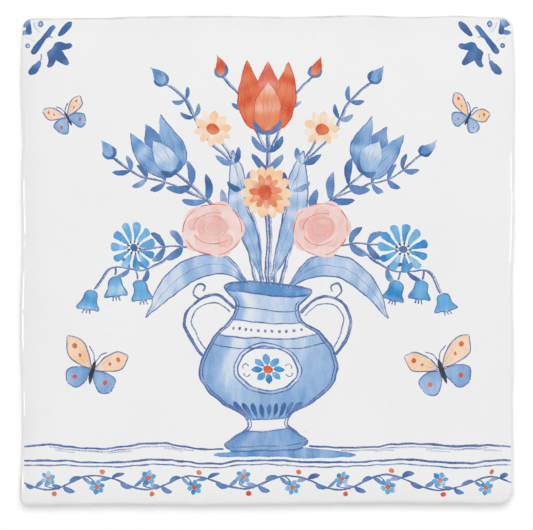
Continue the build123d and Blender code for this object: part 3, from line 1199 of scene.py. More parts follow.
# %% Stalks, scrolls and rings of the ornament
ORNAMENT_LINES = (  # points, width, load and fade: stalks, scrolls, and two rings with a pale spot in each
    (((8.7, 6.3), (9.3, 6.7), (10.0, 6.8)), 0.5, 0.6, (1.0, 0.6)),
    (((6.2, 11.6), (6.35, 12.5), (6.1, 13.8)), 0.42, 0.75, (0.9, 0.7, 1.0)),
    (((4.1, 1.9), (4.2, 3.1), (4.8, 4.2), (6.3, 5.5)), 0.4, 0.24, (1.5, 1.0, 0.6)),
    (((4.85, 1.9), (4.9, 2.8), (5.3, 3.7), (6.3, 4.4)), 0.34, 0.15, (1.0, 0.6)),
    (((1.2, 6.95), (2.2, 6.95), (3.1, 7.25), (4.3, 8.1)), 0.38, 0.18, (0.6, 1.0)),
    (((5.75, 2.55), (6.5, 3.0)), 1.1, 0.3, (1.0,)),
    (((1.85, 9.3), (2.65, 9.25)), 0.9, 0.36, (1.0,)),
    (
        (
            (6.45, 2.15), (6.72, 2.75), (6.2, 3.5), (5.6, 3.0),
            (5.65, 2.35), (6.05, 2.0), (6.5, 2.15), (6.72, 2.7),
        ),
        0.55,
        0.75,
        (1.3, 0.9, 0.75, 0.8, 0.7, 0.9),
    ),
    (
        (
            (2.78, 9.35), (2.62, 8.95), (2.25, 8.75), (1.8, 9.0), (1.72, 9.5),
            (2.15, 9.8), (2.6, 9.65), (2.8, 9.3), (2.62, 8.95),
        ),
        0.52,
        0.9,
        (0.85, 1.0, 1.1, 1.0, 0.8, 0.8),
    ),
)
print(len(ORNAMENT_LINES), "lines in an ornament")

# %% Two corners from one set of marks
ORNAMENT_PLACES = {-1: (0.36, -0.14), 1: (-1.72, -0.08)}  # how far the painter set each one from its corner
ORNAMENT_HAND = {"waver": 0.15, "rough": 0.6, "step": 0.28, "cell": 0.26, "layer": "leaf"}
UPSIDE_DOWN = np.array((1, -1))  # because the marks are given downward from the corner

for side in (-1, 1):
    corner = np.array((side * tile_size[0] / 2 + tile_middle[0], high[1])) + ORNAMENT_PLACES[side]
    for *borders, load, fade in ORNAMENT_SHAPES:
        spots = [placed(border * UPSIDE_DOWN, corner, side=-side) for border in borders]
        filled("corner_ornaments", *spots, load, fade=fade, **ORNAMENT_HAND)
    for points, width, load, fade in ORNAMENT_LINES:
        spots = placed(points * UPSIDE_DOWN, corner, side=-side)
        mark("corner_ornaments", spots, width, load=load, fade=fade, **ORNAMENT_HAND)
paint_piece("corner_ornaments", pigments["cobalt_brush"])

# %% [markdown]
# ## The vase
#
# The middle of the face carries an old and common subject of painted tiles, a vase of flowers on a ledge.
# The vase is a turned shape, so its drawing starts from one profile: its half width at each height.
# Carried across from side to side, with rows that sag as a round body's rings do, the profile gives the
# wash of blue. The load worked out on the same grid leaves a medallion and two bands white. The profile
# itself, mirrored, is the outline.

# %% Profile and wash
VASE_PROFILE = (  # half width and height of the vase, from foot to lip
    (11.2, -56.6), (12.4, -55.0), (9.6, -52.6), (6.2, -49.8), (7.4, -46.8), (14.4, -42.8),
    (20.0, -36.4), (20.6, -30.0), (16.6, -23.2), (10.4, -17.8), (9.2, -13.4), (12.8, -8.6),
)
VASE_SAG = 0.11  # how far a ring of the vase sags, as a share of its half width
MEDALLION = {"middle": -33.0, "half_width": 9.2, "half_height": 7.2}
WHITE_BANDS = ((-50.6, -47.4), (-21.8, -18.4))
BAND_FADES = 0.5
MEDALLION_FADES = 0.08  # as a share of its half width
VASE_COLUMNS = 61
NECK_LOAD = 0.34
LOW_DOWN = {"load": 0.42, "from": -16, "over": 34}  # more pigment lies low down
AT_SIDES = {"load": 0.26, "middle": 0.1}  # and at the sides, as on a round body
HIGHLIGHT = {"load": 0.30, "middle": -0.55, "reach": 0.16}

profile = pen_path(VASE_PROFILE)
sideways = np.sin(np.linspace(-np.pi / 2, np.pi / 2, VASE_COLUMNS))
vase_x = np.multiply.outer(profile[:, 0] + SUNK[1], sideways)
vase_y = profile[:, 1:] - VASE_SAG * np.multiply.outer(profile[:, 0], np.sqrt(1 - sideways**2))
ring_height = np.multiply.outer(profile[:, 1], np.ones(VASE_COLUMNS))

medallion_up = (vase_y - MEDALLION["middle"]) / MEDALLION["half_height"]
from_medallion = np.hypot(vase_x / MEDALLION["half_width"], medallion_up)
vase_load = NECK_LOAD + LOW_DOWN["load"] * eased((LOW_DOWN["from"] - ring_height) / LOW_DOWN["over"])
vase_load = vase_load + AT_SIDES["load"] * (sideways - AT_SIDES["middle"]) ** 2
light = np.exp(-(((sideways - HIGHLIGHT["middle"]) / HIGHLIGHT["reach"]) ** 2))
vase_load -= HIGHLIGHT["load"] * light
vase_load *= eased((from_medallion - 1.0) / MEDALLION_FADES)
for band_low, band_high in WHITE_BANDS:
    past_band = np.abs(ring_height - (band_low + band_high) / 2) - (band_high - band_low) / 2
    vase_load *= eased(past_band / BAND_FADES + 0.5)
skin("vase_wash", vase_x, vase_y, vase_load, "wash")
print("Vase", round(np.ptp(profile[:, 1]), 1), "mm tall and", round(2 * profile[:, 0].max(), 1), "mm wide")

# %% Outline, rings and handles
PEN = 0.62  # width of a drawn line
FINE_PEN = 0.44
RING_HEIGHTS = (-55.0, -50.8, -47.2, -24.4, -22.0, -18.2, -14.4)
LIP = {"height": -8.6, "half_width": 12.8, "half_height": 1.9}
HANDLE = ((9.7, -15.6), (14.2, -10.8), (20.4, -11.0), (24.6, -16.2), (24.0, -23.0), (20.2, -28.6))
HANDLE_INSIDE = ((11.0, -16.6), (15.0, -13.0), (19.6, -13.2), (22.6, -17.0), (22.0, -22.4), (19.4, -26.6))
HANDLE_CURL = ((20.4, -11.0), (22.6, -9.0), (21.2, -6.6), (19.0, -7.4), (19.6, -9.0))
INNER_LINE_GAP = 0.9  # a second line inside the outline, which leaves out some steps at each end
INNER_LINE_SKIPS = 8
MEDALLION_RINGS = ((1.0, PEN, 0.95), (1.13, FINE_PEN, 1.1))  # size, width and load


def ring_line(half, height, sag=VASE_SAG):
    """A ring of the vase, seen from a little above: half an ellipse that hangs below its two ends."""
    turn = np.linspace(0, np.pi, 15)
    return np.stack((-half * np.cos(turn), height - sag * half * np.sin(turn)), axis=1)


def oval_line(at, half_width, half_height, start=-20.0, sweep=385.0):
    """A stretch of an ellipse, angles in degrees. Past a full turn its ends overlap, as a drawn ring's do."""
    turn = np.radians(start + np.linspace(0, sweep, 25))
    return np.stack((at[0] + half_width * np.cos(turn), at[1] + half_height * np.sin(turn)), axis=1)


inner_line = profile[INNER_LINE_SKIPS:-INNER_LINE_SKIPS] - (INNER_LINE_GAP, 0.0)
for side in (-1, 1):
    flip = np.array((side, 1))
    mark("vase_lines", profile * flip, PEN)
    mark("vase_lines", inner_line * flip, FINE_PEN, load=1.2, fade=(0.7, 1.0, 0.8))
    mark("vase_lines", HANDLE * flip, 1.5 * PEN, fade=(0.8, 1.0))
    mark("vase_lines", HANDLE_INSIDE * flip, FINE_PEN, load=0.7)
    mark("vase_lines", HANDLE_CURL * flip, PEN, load=0.9)
for height in RING_HEIGHTS:
    half_width = np.interp(height, profile[:, 1], profile[:, 0])
    mark("vase_lines", ring_line(half_width, height), FINE_PEN, load=0.85)
mark("vase_lines", ring_line(*VASE_PROFILE[0]), PEN)
mark("vase_lines", oval_line((0, LIP["height"]), LIP["half_width"], LIP["half_height"]), PEN)
for grow, width, load in MEDALLION_RINGS:
    half_width = grow * MEDALLION["half_width"]
    half_height = grow * MEDALLION["half_height"]
    mark("vase_lines", oval_line((0, MEDALLION["middle"]), half_width, half_height), width, load=load)
print(len(paint["vase_lines"]), "lines on the vase")

# %% Gadroons, dots and mouth
GADROONS = 9  # fat strokes round the foot of the body
GADROON_SPREAD = 0.80  # of the half width on each side
GADROON_WIDTH = 1.7
GADROON_LOW = (7.0, -47.6, 1.0)  # half width, height and sag of the ring where they start
GADROON_HIGH = (14.0, -41.8, 1.6)  # and where they end
SHOULDER_DOTS = 11
DOT_SPREAD = 0.84
DOT_RING = (12.4, -20.2, 1.5)
DOT_HALF = 0.5
DOT_WIDTH = 0.95
MOUTH_INSET = (0.5, 0.2)  # of the wash inside the lip


def on_ring(share, ring_place):
    """A place at a share of a ring's half width, lowered as half an ellipse sags."""
    half, height, sag = ring_place
    return np.array((share * half, height - sag * np.sqrt(1 - share**2)))


for share in np.linspace(-GADROON_SPREAD, GADROON_SPREAD, GADROONS):
    stroke = (on_ring(share, GADROON_LOW), on_ring(share, GADROON_HIGH))
    mark("gadroons", stroke, GADROON_WIDTH, drop, 1.0, "leaf", fade=(0.8, 1.1))
for share in np.linspace(-DOT_SPREAD, DOT_SPREAD, SHOULDER_DOTS):
    dot = on_ring(share, DOT_RING)
    mark("vase_lines", (dot - (DOT_HALF, 0), dot + (DOT_HALF, 0)), DOT_WIDTH, load=0.9)
paint_piece("vase_lines", pigments["cobalt_line"])
paint_piece("gadroons", pigments["cobalt_brush"])

mouth_half = np.array((LIP["half_width"], LIP["half_height"])) - MOUTH_INSET
mouth = oval_line((0, LIP["height"]), *mouth_half, 180, -180)
filled("vase_wash", mouth, mouth * (1, -1) + (0, 2 * LIP["height"]), 1.2, "wash")
paint_piece("vase_wash", pigments["blue_wash"])

# %% [markdown]
# ## Stems and leaves
#
# Stems rise from the mouth of the vase and lean out, each drawn with a firm line and a faint second one.
# Leaves sit along them in turn, left and right, as single strokes of a loaded brush. The long leaves of
# bulbs are larger shapes, a pale wash with a drawn border and a vein. The right half is given, and the
# left half mirrors it: the wavering hand then makes the two halves differ a little.

# %% Stems with their leaves
STEMS = (  # points of a stem on the right-hand side, shares of its length where leaves sit, and their length
    (((0.3, -8.0), (0.5, 14.0), (0.0, 41.0)), (0.72, 0.84), 7.0),
    (((3.0, -8.0), (9.0, 8.0), (19.0, 19.0), (28.2, 26.4)), (0.58, 0.72, 0.86), 7.5),
    (((1.6, -8.0), (4.6, 12.0), (10.6, 28.0), (15.6, 38.0)), (0.62, 0.78), 6.0),
    (((5.4, -8.0), (13.0, 0.0), (25.0, 4.4), (39.0, 3.6)), (0.62, 0.76), 6.5),
    (((19.0, 19.0), (30.0, 23.4), (39.0, 25.6), (46.4, 31.6)), (0.42, 0.60, 0.78), 5.4),
    (((25.0, 4.4), (38.0, -3.4), (47.6, -3.0), (52.4, -9.4)), (0.40, 0.58), 5.2),
    (((10.6, 28.0), (18.0, 36.0), (24.0, 47.0), (31.0, 53.6)), (0.56, 0.74), 4.8),
    (((0.0, 33.0), (4.6, 42.0), (8.6, 50.0), (13.6, 55.4)), (0.55,), 4.4),
)
LEAF_TURN = 42.0  # degrees that a leaf leaves its stem by
LEAF_WIDTH = 0.30  # of its length
LEAF_BEND = 0.10  # of its length
PALE_LEAF = 0.62  # load of every second leaf
SECOND_LINE = (0.62, 0.1)  # how far a stem's faint second line lies from the first
LOOK_AHEAD = 0.02  # share of a stem over which its heading is read

for side in (-1, 1):
    flip = np.array((side, 1))
    for points, leaf_shares, leaf_length in STEMS:
        stem = pen_path(points) * flip
        mark("stems", stem, PEN, load=0.95, layer="stem")
        mark("stems", stem + SECOND_LINE, FINE_PEN, load=0.45, layer="stem")
        places = at_shares(stem, leaf_shares)
        ahead = at_shares(stem, np.array(leaf_shares) + LOOK_AHEAD) - places
        headings = np.degrees(np.arctan2(ahead[:, 1], ahead[:, 0]))
        for number, (place, heading) in enumerate(zip(places, headings)):
            for turn in (LEAF_TURN, -LEAF_TURN):
                bend = np.sign(turn) * LEAF_BEND
                leaf = np.array(((0.0, 0.0), (0.5, bend), (1.0, 0.0))) * leaf_length
                tone = 1.0 if (turn > 0) == (number % 2 == 0) else PALE_LEAF
                spots = placed(leaf, place, heading + turn)
                width = LEAF_WIDTH * leaf_length
                mark("leaves", spots, width, lens, tone, "leaf", fade=(1.1, 0.8), cell=0.4)
paint_piece("stems", pigments["cobalt_line"])

# %% Long leaves of bulbs
LONG_LEAVES = (  # two borders, on the right-hand side
    (
        ((5.0, -8.0), (13.0, 0.6), (24.0, 0.4), (33.0, -7.0), (37.0, -18.0)),
        ((5.0, -8.0), (13.6, -4.4), (22.4, -5.4), (30.0, -10.6), (37.0, -18.0)),
    ),
    (
        ((1.0, -6.0), (3.6, 8.0), (6.4, 16.0), (7.0, 24.0), (11.0, 33.0)),
        ((1.0, -6.0), (7.4, 4.0), (11.6, 14.0), (12.2, 24.0), (11.0, 33.0)),
    ),
)

for side in (-1, 1):
    flip = np.array((side, 1))
    for borders in LONG_LEAVES:
        one, other = (np.array(border) * flip for border in borders)
        filled("long_leaves", one, other, 0.62, "wash", fade=(1.15, 0.9, 0.45))
        for border in (one, other):
            mark("leaf_lines", border, 1.15 * FINE_PEN, even, 0.95, "stem", fade=(0.8, 1.1, 0.8))
        vein = (one[1:-1] + other[1:-1]) / 2
        mark("leaf_lines", (one[0], *vein, one[-1]), 0.9 * FINE_PEN, even, 1.15, "stem", fade=(1.0, 0.8))
paint_piece("long_leaves", pigments["blue_wash"])
paint_piece("leaf_lines", pigments["cobalt_line"])

# %% [markdown]
# ## The flowers
#
# Each kind of flower is a short function that places petals round a heart or on a base. A tulip is larger
# shapes between two borders, with feathered lines. Open flowers are rings of strokes, each a stroke of
# the brush from the heart outward. The same function is called for both halves, with the side, the lean
# and the size.

# %% A tulip
TULIP_SIDE = (
    ((0.0, 0.0), (-4.4, 0.8), (-7.0, 5.2), (-6.9, 11.0), (-5.2, 17.2)),
    ((0.0, 0.0), (-0.3, 4.6), (-1.5, 9.6), (-3.3, 13.6), (-5.2, 17.2)),
)
TULIP_BACK = ((0.0, 3.0), (-3.2, 7.5), (-2.5, 12.2), (0.0, 17.2))
TULIP_FRONT = ((0.0, -0.2), (-2.9, 2.2), (-3.2, 6.6), (0.0, 11.8))
TULIP_SEPAL = ((0, -0.8), (2.2, 0.4), (3.6, 2.6))
TULIP_CALYX = ((0, -1.1), (0, 0.5))
SEPAL_WIDTH = 1.5
CALYX_WIDTH = 1.3
SIDE_FEATHERS = (0.15, 0.5, 0.85)  # shares of the way across a side petal
FRONT_FEATHERS = (-0.45, 0.0, 0.45)  # how far those of the front petal bend
FEATHER = 0.46  # width
PETAL_BORDER = 0.40
mirror = np.array((-1, 1))


def tulip(at, lean, size, pieces):
    """Two side petals before a back petal, a front petal over them, and feathered lines from the base. Two
    sepals and a dab of the brush join it to its stem."""
    petals, behind, feathers = pieces

    def spots(points):
        """Points of the tulip, leaned, sized and moved to its base."""
        return placed(points, at, lean, size)

    back = np.array(TULIP_BACK)
    filled(behind, spots(back), spots(back * mirror), 0.62, "petal", fade=(1.2, 0.8))
    for half in (-1, 1):
        outer, inner = (np.array(border) * (half, 1) for border in TULIP_SIDE)
        filled(petals, spots(outer), spots(inner), 0.92, "front", fade=(1.1, 1.0, 0.75))
        for share in SIDE_FEATHERS:
            feather = (outer * (1 - share) + inner * share)[:-1]
            mark(feathers, spots(feather), FEATHER, drop, 1.0, "over", fade=(1.1, 0.9))
        mark(feathers, spots(outer), PETAL_BORDER, even, 1.0, "over")
    front = np.array(TULIP_FRONT)
    filled(petals, spots(front), spots(front * mirror), 0.5, "line", fade=(1.35, 0.9, 0.7))
    for half in (-1, 1):
        mark(feathers, spots(front * (half, 1)), PETAL_BORDER, even, 0.95, "over")
    for bend in FRONT_FEATHERS:
        feather = ((0, 0.4), (2.2 * bend, 4.0), (2.6 * bend, 8.6))
        mark(feathers, spots(feather), FEATHER, drop, 0.9, "over")
    for half in (-1, 1):
        sepal = np.array(TULIP_SEPAL) * (half, 1)
        mark("leaves", spots(sepal), SEPAL_WIDTH * size, lens, 1.0, "over")
    mark("leaves", spots(TULIP_CALYX), CALYX_WIDTH * size, even, 1.0, "over")


print("A tulip of size 1 is", TULIP_BACK[-1][1], "mm tall")

# %% A bud
BUD = ((0, 6.4), (0.2, 3.4), (0, 0))
BUD_WIDTH = 3.6
BUD_FEATHER = ((0, 0.6), (0.5, 2.4), (0.2, 4.8))
BUD_FEATHER_WIDTH = 0.5
BUD_SEPAL = ((0, -0.6), (1.5, 0.8), (1.7, 3.0))
BUD_CALYX = ((0, -0.8), (0, 0.5))
BUD_BASE = 1.1  # width of a bud's sepals and calyx


def bud(at, lean, pieces):
    """One fat stroke towards the stem, a feathered line on it, two sepals and a dab at its base."""
    petals, feathers = pieces
    mark(petals, placed(BUD, at, lean), BUD_WIDTH, drop, 0.95, "petal", cell=0.4)
    mark(feathers, placed(BUD_FEATHER, at, lean), BUD_FEATHER_WIDTH, drop, 0.8)
    for half in (-1, 1):
        sepal = np.array(BUD_SEPAL) * (half, 1)
        mark("leaves", placed(sepal, at, lean), BUD_BASE, lens, 1.0, "over")
    mark("leaves", placed(BUD_CALYX, at, lean), BUD_BASE, even, 1.0, "over")


print("A bud is", BUD[0][1], "mm tall")

# %% Tulips and buds in their places
TULIPS = (  # place of the base, lean in degrees, size, and the pieces of its petals, back petal and lines
    ((0.0, 40.0), 0.0, 1.2, ("tulips", "tulip_feathers", "tulip_feathers")),
    ((28.4, 26.6), -30.0, 1.0, ("blue_tulips", "leaves", "blue_feathers")),
)
BUDS = (  # place of the base, lean, and the pieces of its petal and line
    ((46.6, 31.8), -38.0, ("blue_tulips", "blue_feathers")),
    ((31.4, 54.0), -35.0, ("blue_tulips", "blue_feathers")),
    ((13.8, 55.6), -20.0, ("tulips", "tulip_feathers")),
)

for side in (-1, 1):
    for (x, y), lean, size, pieces in TULIPS:
        if x > 0 or side > 0:  # the one in the middle is painted once
            tulip((side * x, y), side * lean, size, pieces)
    for (x, y), lean, pieces in BUDS:
        bud((side * x, y), side * lean, pieces)
paint_piece("tulips", pigments["orange_red"])
paint_piece("tulip_feathers", pigments["deep_red"])
paint_piece("blue_tulips", pigments["blue_wash"])
paint_piece("blue_feathers", pigments["cobalt_line"])

# %% Rings of petals and round patches
PETAL_CELL = 0.4
PETAL_BOW = 0.02  # how far a petal bows sideways, as a share of its outer radius
HALF_DISC_POINTS = 19


def ring_of_petals(piece, at, radii, width, count, loads, layer, swell=petal, start=0.0):
    """Strokes from the inner to the outer radius, evenly round the heart, with loads taken in turn."""
    for number in range(count):
        angle = start + 360.0 * number / count
        bowed = (sum(radii) / 2, PETAL_BOW * radii[1])
        stroke = placed(((radii[0], 0.0), bowed, (radii[1], 0.0)), at, angle)
        mark(piece, stroke, width, swell, loads[number % len(loads)], layer, cell=PETAL_CELL)


def disc(piece, at, radius, load, layer, lobes=0, depth=0.0):
    """A round patch between its left and right half, whose radius may swell in lobes."""
    turn = np.radians(np.linspace(90, 270, HALF_DISC_POINTS))
    halves = []
    for way in (1, -1):
        angle = np.pi / 2 + way * (turn - np.pi / 2)
        reach = radius * (1 + depth * np.cos(lobes * angle))
        halves.append(np.stack((at[0] + reach * np.cos(angle), at[1] + reach * np.sin(angle)), axis=1))
    filled(piece, *halves, load, layer, min(LINE_STEP, radius / 4), cell=min(0.6, radius / 3))


def blunt(share):
    """A cornflower ray's swell: it widens all the way to a blunt end."""
    return 0.12 + 0.88 * share**0.9


print("A cornflower ray is", blunt(1.0), "of its width at the end")

# %% Measures of the open flowers
ROSE = (16.4, 9.6)  # places on the right-hand side
CORNFLOWER = (40.6, 3.8)
DAISY = (16.2, 39.4)
MARIGOLD = (0.0, 20.6)
ROSE_PETALS = 5
ROSE_DISC = {"radius": 8.6, "load": 0.55, "layer": "petal", "lobes": ROSE_PETALS, "depth": 0.07}
ROSE_RING = {"radii": (2.6, 7.6), "width": 5.4, "count": ROSE_PETALS, "loads": (0.8, 0.95), "layer": "front"}
ROSE_HEART = {"radius": 4.4, "load": 1.1, "layer": "line", "lobes": 3, "depth": 0.05}
ROSE_FOLDS = (  # the drawn folds of its heart: radius, and start and sweep in degrees
    (1.3, 0, 250),
    (2.5, 140, 210),
    (3.7, 300, 200),
    (5.2, 60, 130),
    (5.4, 200, 120),
)
FOLD_HEIGHT = 0.94  # of its width
FOLD_WIDTH = 0.5
ROSE_RIM = (8.1, 58, 62)  # the drawn border of a petal: radius, and start and sweep in degrees
ROSE_RIM_WIDTH = 0.46
CORNFLOWER_RAYS = {"radii": (1.6, 7.6), "width": 3.0, "count": 11, "loads": (1.0, 0.6), "layer": "petal"}
CORNFLOWER_SEEDS = {"radii": (1.0, 2.5), "width": 0.6, "count": 9, "loads": (0.9,), "layer": "over"}
DAISY_RING = {"radii": (1.5, 5.8), "width": 2.5, "count": 10, "loads": (0.75, 0.5), "layer": "petal"}
MARIGOLD_OUTER = {"radii": (3.4, 8.6), "width": 3.4, "count": 14, "loads": (0.95, 0.7), "layer": "petal"}
MARIGOLD_INNER = {"radii": (1.8, 6.0), "width": 2.5, "count": 11, "loads": (0.5, 0.7), "layer": "front"}
MARIGOLD_SEEDS = {"radii": (1.0, 2.0), "width": 0.7, "count": 8, "loads": (1.0,), "layer": "over"}
print("A rose is", 2 * ROSE_DISC["radius"], "mm wide, a daisy", 2 * DAISY_RING["radii"][1], "mm")

# %% Open flowers
for side in (-1, 1):
    rose, cornflower, daisy = ((side * x, y) for x, y in (ROSE, CORNFLOWER, DAISY))
    disc("roses", rose, **ROSE_DISC)
    ring_of_petals("roses", rose, **ROSE_RING, start=90)
    disc("roses", rose, **ROSE_HEART)
    for radius, start, sweep in ROSE_FOLDS:
        fold = oval_line(rose, radius, radius * FOLD_HEIGHT, start, sweep)
        mark("rose_lines", fold, FOLD_WIDTH, even, 0.8, "over", fade=(0.7, 1.1, 0.6))
    for number in range(ROSE_PETALS):
        radius, start, sweep = ROSE_RIM
        border = oval_line(rose, radius, radius, 360 / ROSE_PETALS * number + start, sweep)
        mark("rose_lines", border, ROSE_RIM_WIDTH, even, 0.75, "over", fade=(0.6, 1.1, 0.6))
    ring_of_petals("cornflowers", cornflower, **CORNFLOWER_RAYS, swell=blunt, start=15)
    ring_of_petals("seeds", cornflower, **CORNFLOWER_SEEDS, swell=drop)
    disc("heart_washes", cornflower, radius=1.2, load=0.9, layer="line")
    ring_of_petals("marigolds", daisy, **DAISY_RING, start=8)
    disc("hearts", daisy, radius=1.9, load=0.95, layer="line")
ring_of_petals("marigolds", MARIGOLD, **MARIGOLD_OUTER)
ring_of_petals("hearts", MARIGOLD, **MARIGOLD_INNER, start=12)
disc("hearts", MARIGOLD, radius=2.5, load=1.0, layer="line")
ring_of_petals("seeds", MARIGOLD, **MARIGOLD_SEEDS, swell=drop)
paint_piece("roses", pigments["rose_pink"])
paint_piece("rose_lines", pigments["deep_red"])
paint_piece("cornflowers", pigments["bright_blue"])
paint_piece("heart_washes", pigments["cobalt_brush"])
paint_piece("marigolds", pigments["peach"])
paint_piece("hearts", pigments["orange_red"])
paint_piece("seeds", pigments["soft_black"])
paint_piece("leaves", pigments["cobalt_brush"])

# %% [markdown]
# ## Bells, a rosette and butterflies
#
# The smaller figures follow the same two ways. A bell and a butterfly's wing are shapes between two
# borders, and the rosette in the vase's medallion is a ring of strokes.

# %% Bells
BELL = ((0.0, 0.0), (-1.7, -0.9), (-2.1, -3.2), (-3.2, -5.6), (-1.5, -5.6), (0.0, -6.0))
BELLS = (  # place, turn in degrees, and length of the stalk that it hangs by
    ((52.8, -9.2), 14.0, 0.0),
    ((46.4, -5.6), -4.0, 3.0),
    ((39.4, -6.6), -12.0, 3.0),
)
STAMENS = (-0.7, 0.0, 0.7)  # how far each leans

for side in (-1, 1):
    for (x, y), turn, stalk in BELLS:
        at = (side * x, y)
        halves = [placed(BELL * np.array((half, 1)), at, side * turn) for half in (-1, 1)]
        filled("bells", *halves, 0.8, "petal", fade=(1.2, 0.9, 0.6))
        for half in halves:
            mark("bell_lines", half, FINE_PEN, even, 0.95, "over")
        if stalk:
            hanging = placed(((0, stalk), (0.2, stalk / 2), (0, 0)), at, side * turn)
            mark("bell_lines", hanging, PEN, load=0.9)
        for lean in STAMENS:
            stamen = placed(((lean, -5.6), (1.5 * lean, -7.2)), at, side * turn)
            mark("bell_lines", stamen, FINE_PEN, load=0.8)
print(len(paint["bells"]), "bells")

# %% Rosette in the medallion
ROSETTE_PETALS = {"radii": (1.3, 5.4), "width": 2.4, "count": 8, "loads": (1.0, 0.7), "layer": "petal"}
ROSETTE_VEINS = {"radii": (2.2, 4.4), "width": 0.5, "count": 8, "loads": (0.9,), "layer": "over"}
MEDALLION_CURL = ((5.4, 1.4), (6.6, 2.4), (7.6, 1.4), (6.9, 0.7))
medallion_at = (0.0, MEDALLION["middle"])

ring_of_petals("bells", medallion_at, **ROSETTE_PETALS)
ring_of_petals("bell_lines", medallion_at, **ROSETTE_VEINS, swell=drop)
for side in (-1, 1):
    for lift in (-1, 1):
        curl = placed(MEDALLION_CURL * np.array((side, lift)), medallion_at)
        mark("bell_lines", curl, FINE_PEN, load=0.9)
paint_piece("bells", pigments["bright_blue"])
paint_piece("bell_lines", pigments["cobalt_line"])
disc("rosette_heart", medallion_at, radius=1.5, load=1.0, layer="over")
paint_piece("rosette_heart", pigments["orange_red"])

# %% Butterflies
FORE_WING = (
    ((0.4, 0.4), (2.6, 4.6), (6.4, 7.8), (10.0, 7.6)),
    ((0.4, 0.4), (4.4, 0.8), (8.6, 2.6), (10.0, 7.6)),
)
HIND_WING = (
    ((0.4, -0.2), (3.8, 0.2), (7.4, -1.6), (6.6, -5.6)),
    ((0.4, -0.2), (1.2, -3.2), (3.4, -6.4), (6.6, -5.6)),
)
WING_VEINS = (0.3, 0.62)  # shares of the way across the fore wing
WING_SPOTS = ((7.2, 5.6, 0.85), (5.0, 3.4, 0.6), (4.6, -3.2, 0.8))  # place and radius
FEELER = ((0.2, 2.8), (1.2, 5.2), (3.2, 6.8))
BUTTERFLY_BODY = ((0, 3.6), (0.1, 0.6), (0, -4.6))
BODY_WIDTH = 1.5
BUTTERFLIES = (((53.0, -33.0), 16.0, 1.0), ((60.0, 43.0), -24.0, 0.62))  # place, turn in degrees, size

for side in (-1, 1):
    for (x, y), turn, size in BUTTERFLIES:
        at = (side * x, y)
        for half in (-1, 1):
            flip = np.array((half, 1))
            fore = [placed(border * flip, at, side * turn, size) for border in FORE_WING]
            hind = [placed(border * flip, at, side * turn, size) for border in HIND_WING]
            filled("hind_wings", *hind, 0.75, "leaf", fade=(1.2, 0.8))
            filled("fore_wings", *fore, 0.9, "petal", fade=(0.6, 1.0))
            for border in (*fore, *hind):
                mark("butterfly_lines", border, FINE_PEN, load=0.9)
            for share in WING_VEINS:
                vein = np.array(fore[0]) * (1 - share) + np.array(fore[1]) * share
                mark("butterfly_lines", vein[:-1], 0.8 * FINE_PEN, load=0.55, fade=(1.0, 0.4))
            for *spot, radius in WING_SPOTS:
                spot_at = placed((spot * flip,), at, side * turn, size)[0]
                disc("wing_spots", spot_at, radius * size, 1.0, "over")
            feeler = placed(FEELER * flip, at, side * turn, size)
            mark("butterfly_lines", feeler, 0.8 * FINE_PEN, load=0.9)
        body = placed(BUTTERFLY_BODY, at, side * turn, size)
        mark("butterfly_bodies", body, BODY_WIDTH * size, lens, 0.95, "over")
paint_piece("hind_wings", pigments["blue_wash"])
paint_piece("fore_wings", pigments["peach"])
paint_piece("wing_spots", pigments["orange_red"])
paint_piece("butterfly_lines", pigments["cobalt_line"])
paint_piece("butterfly_bodies", pigments["soft_black"])

# %% [markdown]
# ## The ledge and its frieze
#
# The vase stands on a ledge that runs off the tile on both sides, so that tiles set side by side carry it
# on. Under it a vine waves along, with leaves in pairs, small flowers in its hollows and berries on its
# crests.

# %% Ledge
TO_EDGE = 73.9  # how far from the middle a line runs to leave the tile
LEDGE_BACK = -56.4
LEDGE_FRONT = -60.6
FOOT = 12.6  # half width of the vase's foot, where the ledge's back line stops
BACK_LINE = ((FOOT, LEDGE_BACK), (42.0, LEDGE_BACK + 0.3), (TO_EDGE, LEDGE_BACK))
BACK_FAINT = ((FOOT + 9, LEDGE_BACK - 0.7), (TO_EDGE - 8, LEDGE_BACK - 0.6))
FRONT_LINE = (
    (-TO_EDGE, LEDGE_FRONT),
    (-24.0, LEDGE_FRONT - 0.3),
    (26.0, LEDGE_FRONT),
    (TO_EDGE, LEDGE_FRONT),
)
FRONT_LINES = ((0.0, PEN, 1.0), (1.3, FINE_PEN, 0.7))  # how far down, width and load
SHADOW = {"at": (5.0, -58.3), "half_width": 21.0, "half_height": 1.5}  # of the vase on the ledge
HATCH_PLACES = np.arange(-64, 65, 16.0)
HATCH_LEVEL = -57.6
HATCH_STROKE = np.array((7.0, -0.2))
HATCH_CLEAR = 20  # there is none nearer to the middle

for side in (-1, 1):
    flip = np.array((side, 1))
    mark("ledge_lines", BACK_LINE * flip, PEN)
    mark("ledge_lines", BACK_FAINT * flip, FINE_PEN, load=0.4)
for down, width, load in FRONT_LINES:
    mark("ledge_lines", np.array(FRONT_LINE) - (0, down), width, load=load)
shadow = oval_line(SHADOW["at"], SHADOW["half_width"], SHADOW["half_height"], 180, -180)
mirrored_shadow = shadow * (1, -1) + (0, 2 * SHADOW["at"][1])
filled("ledge_wash", shadow, mirrored_shadow, 1.1, "wash")
for x in HATCH_PLACES[np.abs(HATCH_PLACES) > HATCH_CLEAR]:
    hatch = (x, HATCH_LEVEL) + np.linspace(0, 1, 4)[:, None] * HATCH_STROKE
    mark("ledge_lines", hatch, FINE_PEN, load=0.28)
paint_piece("ledge_wash", pigments["blue_wash"])

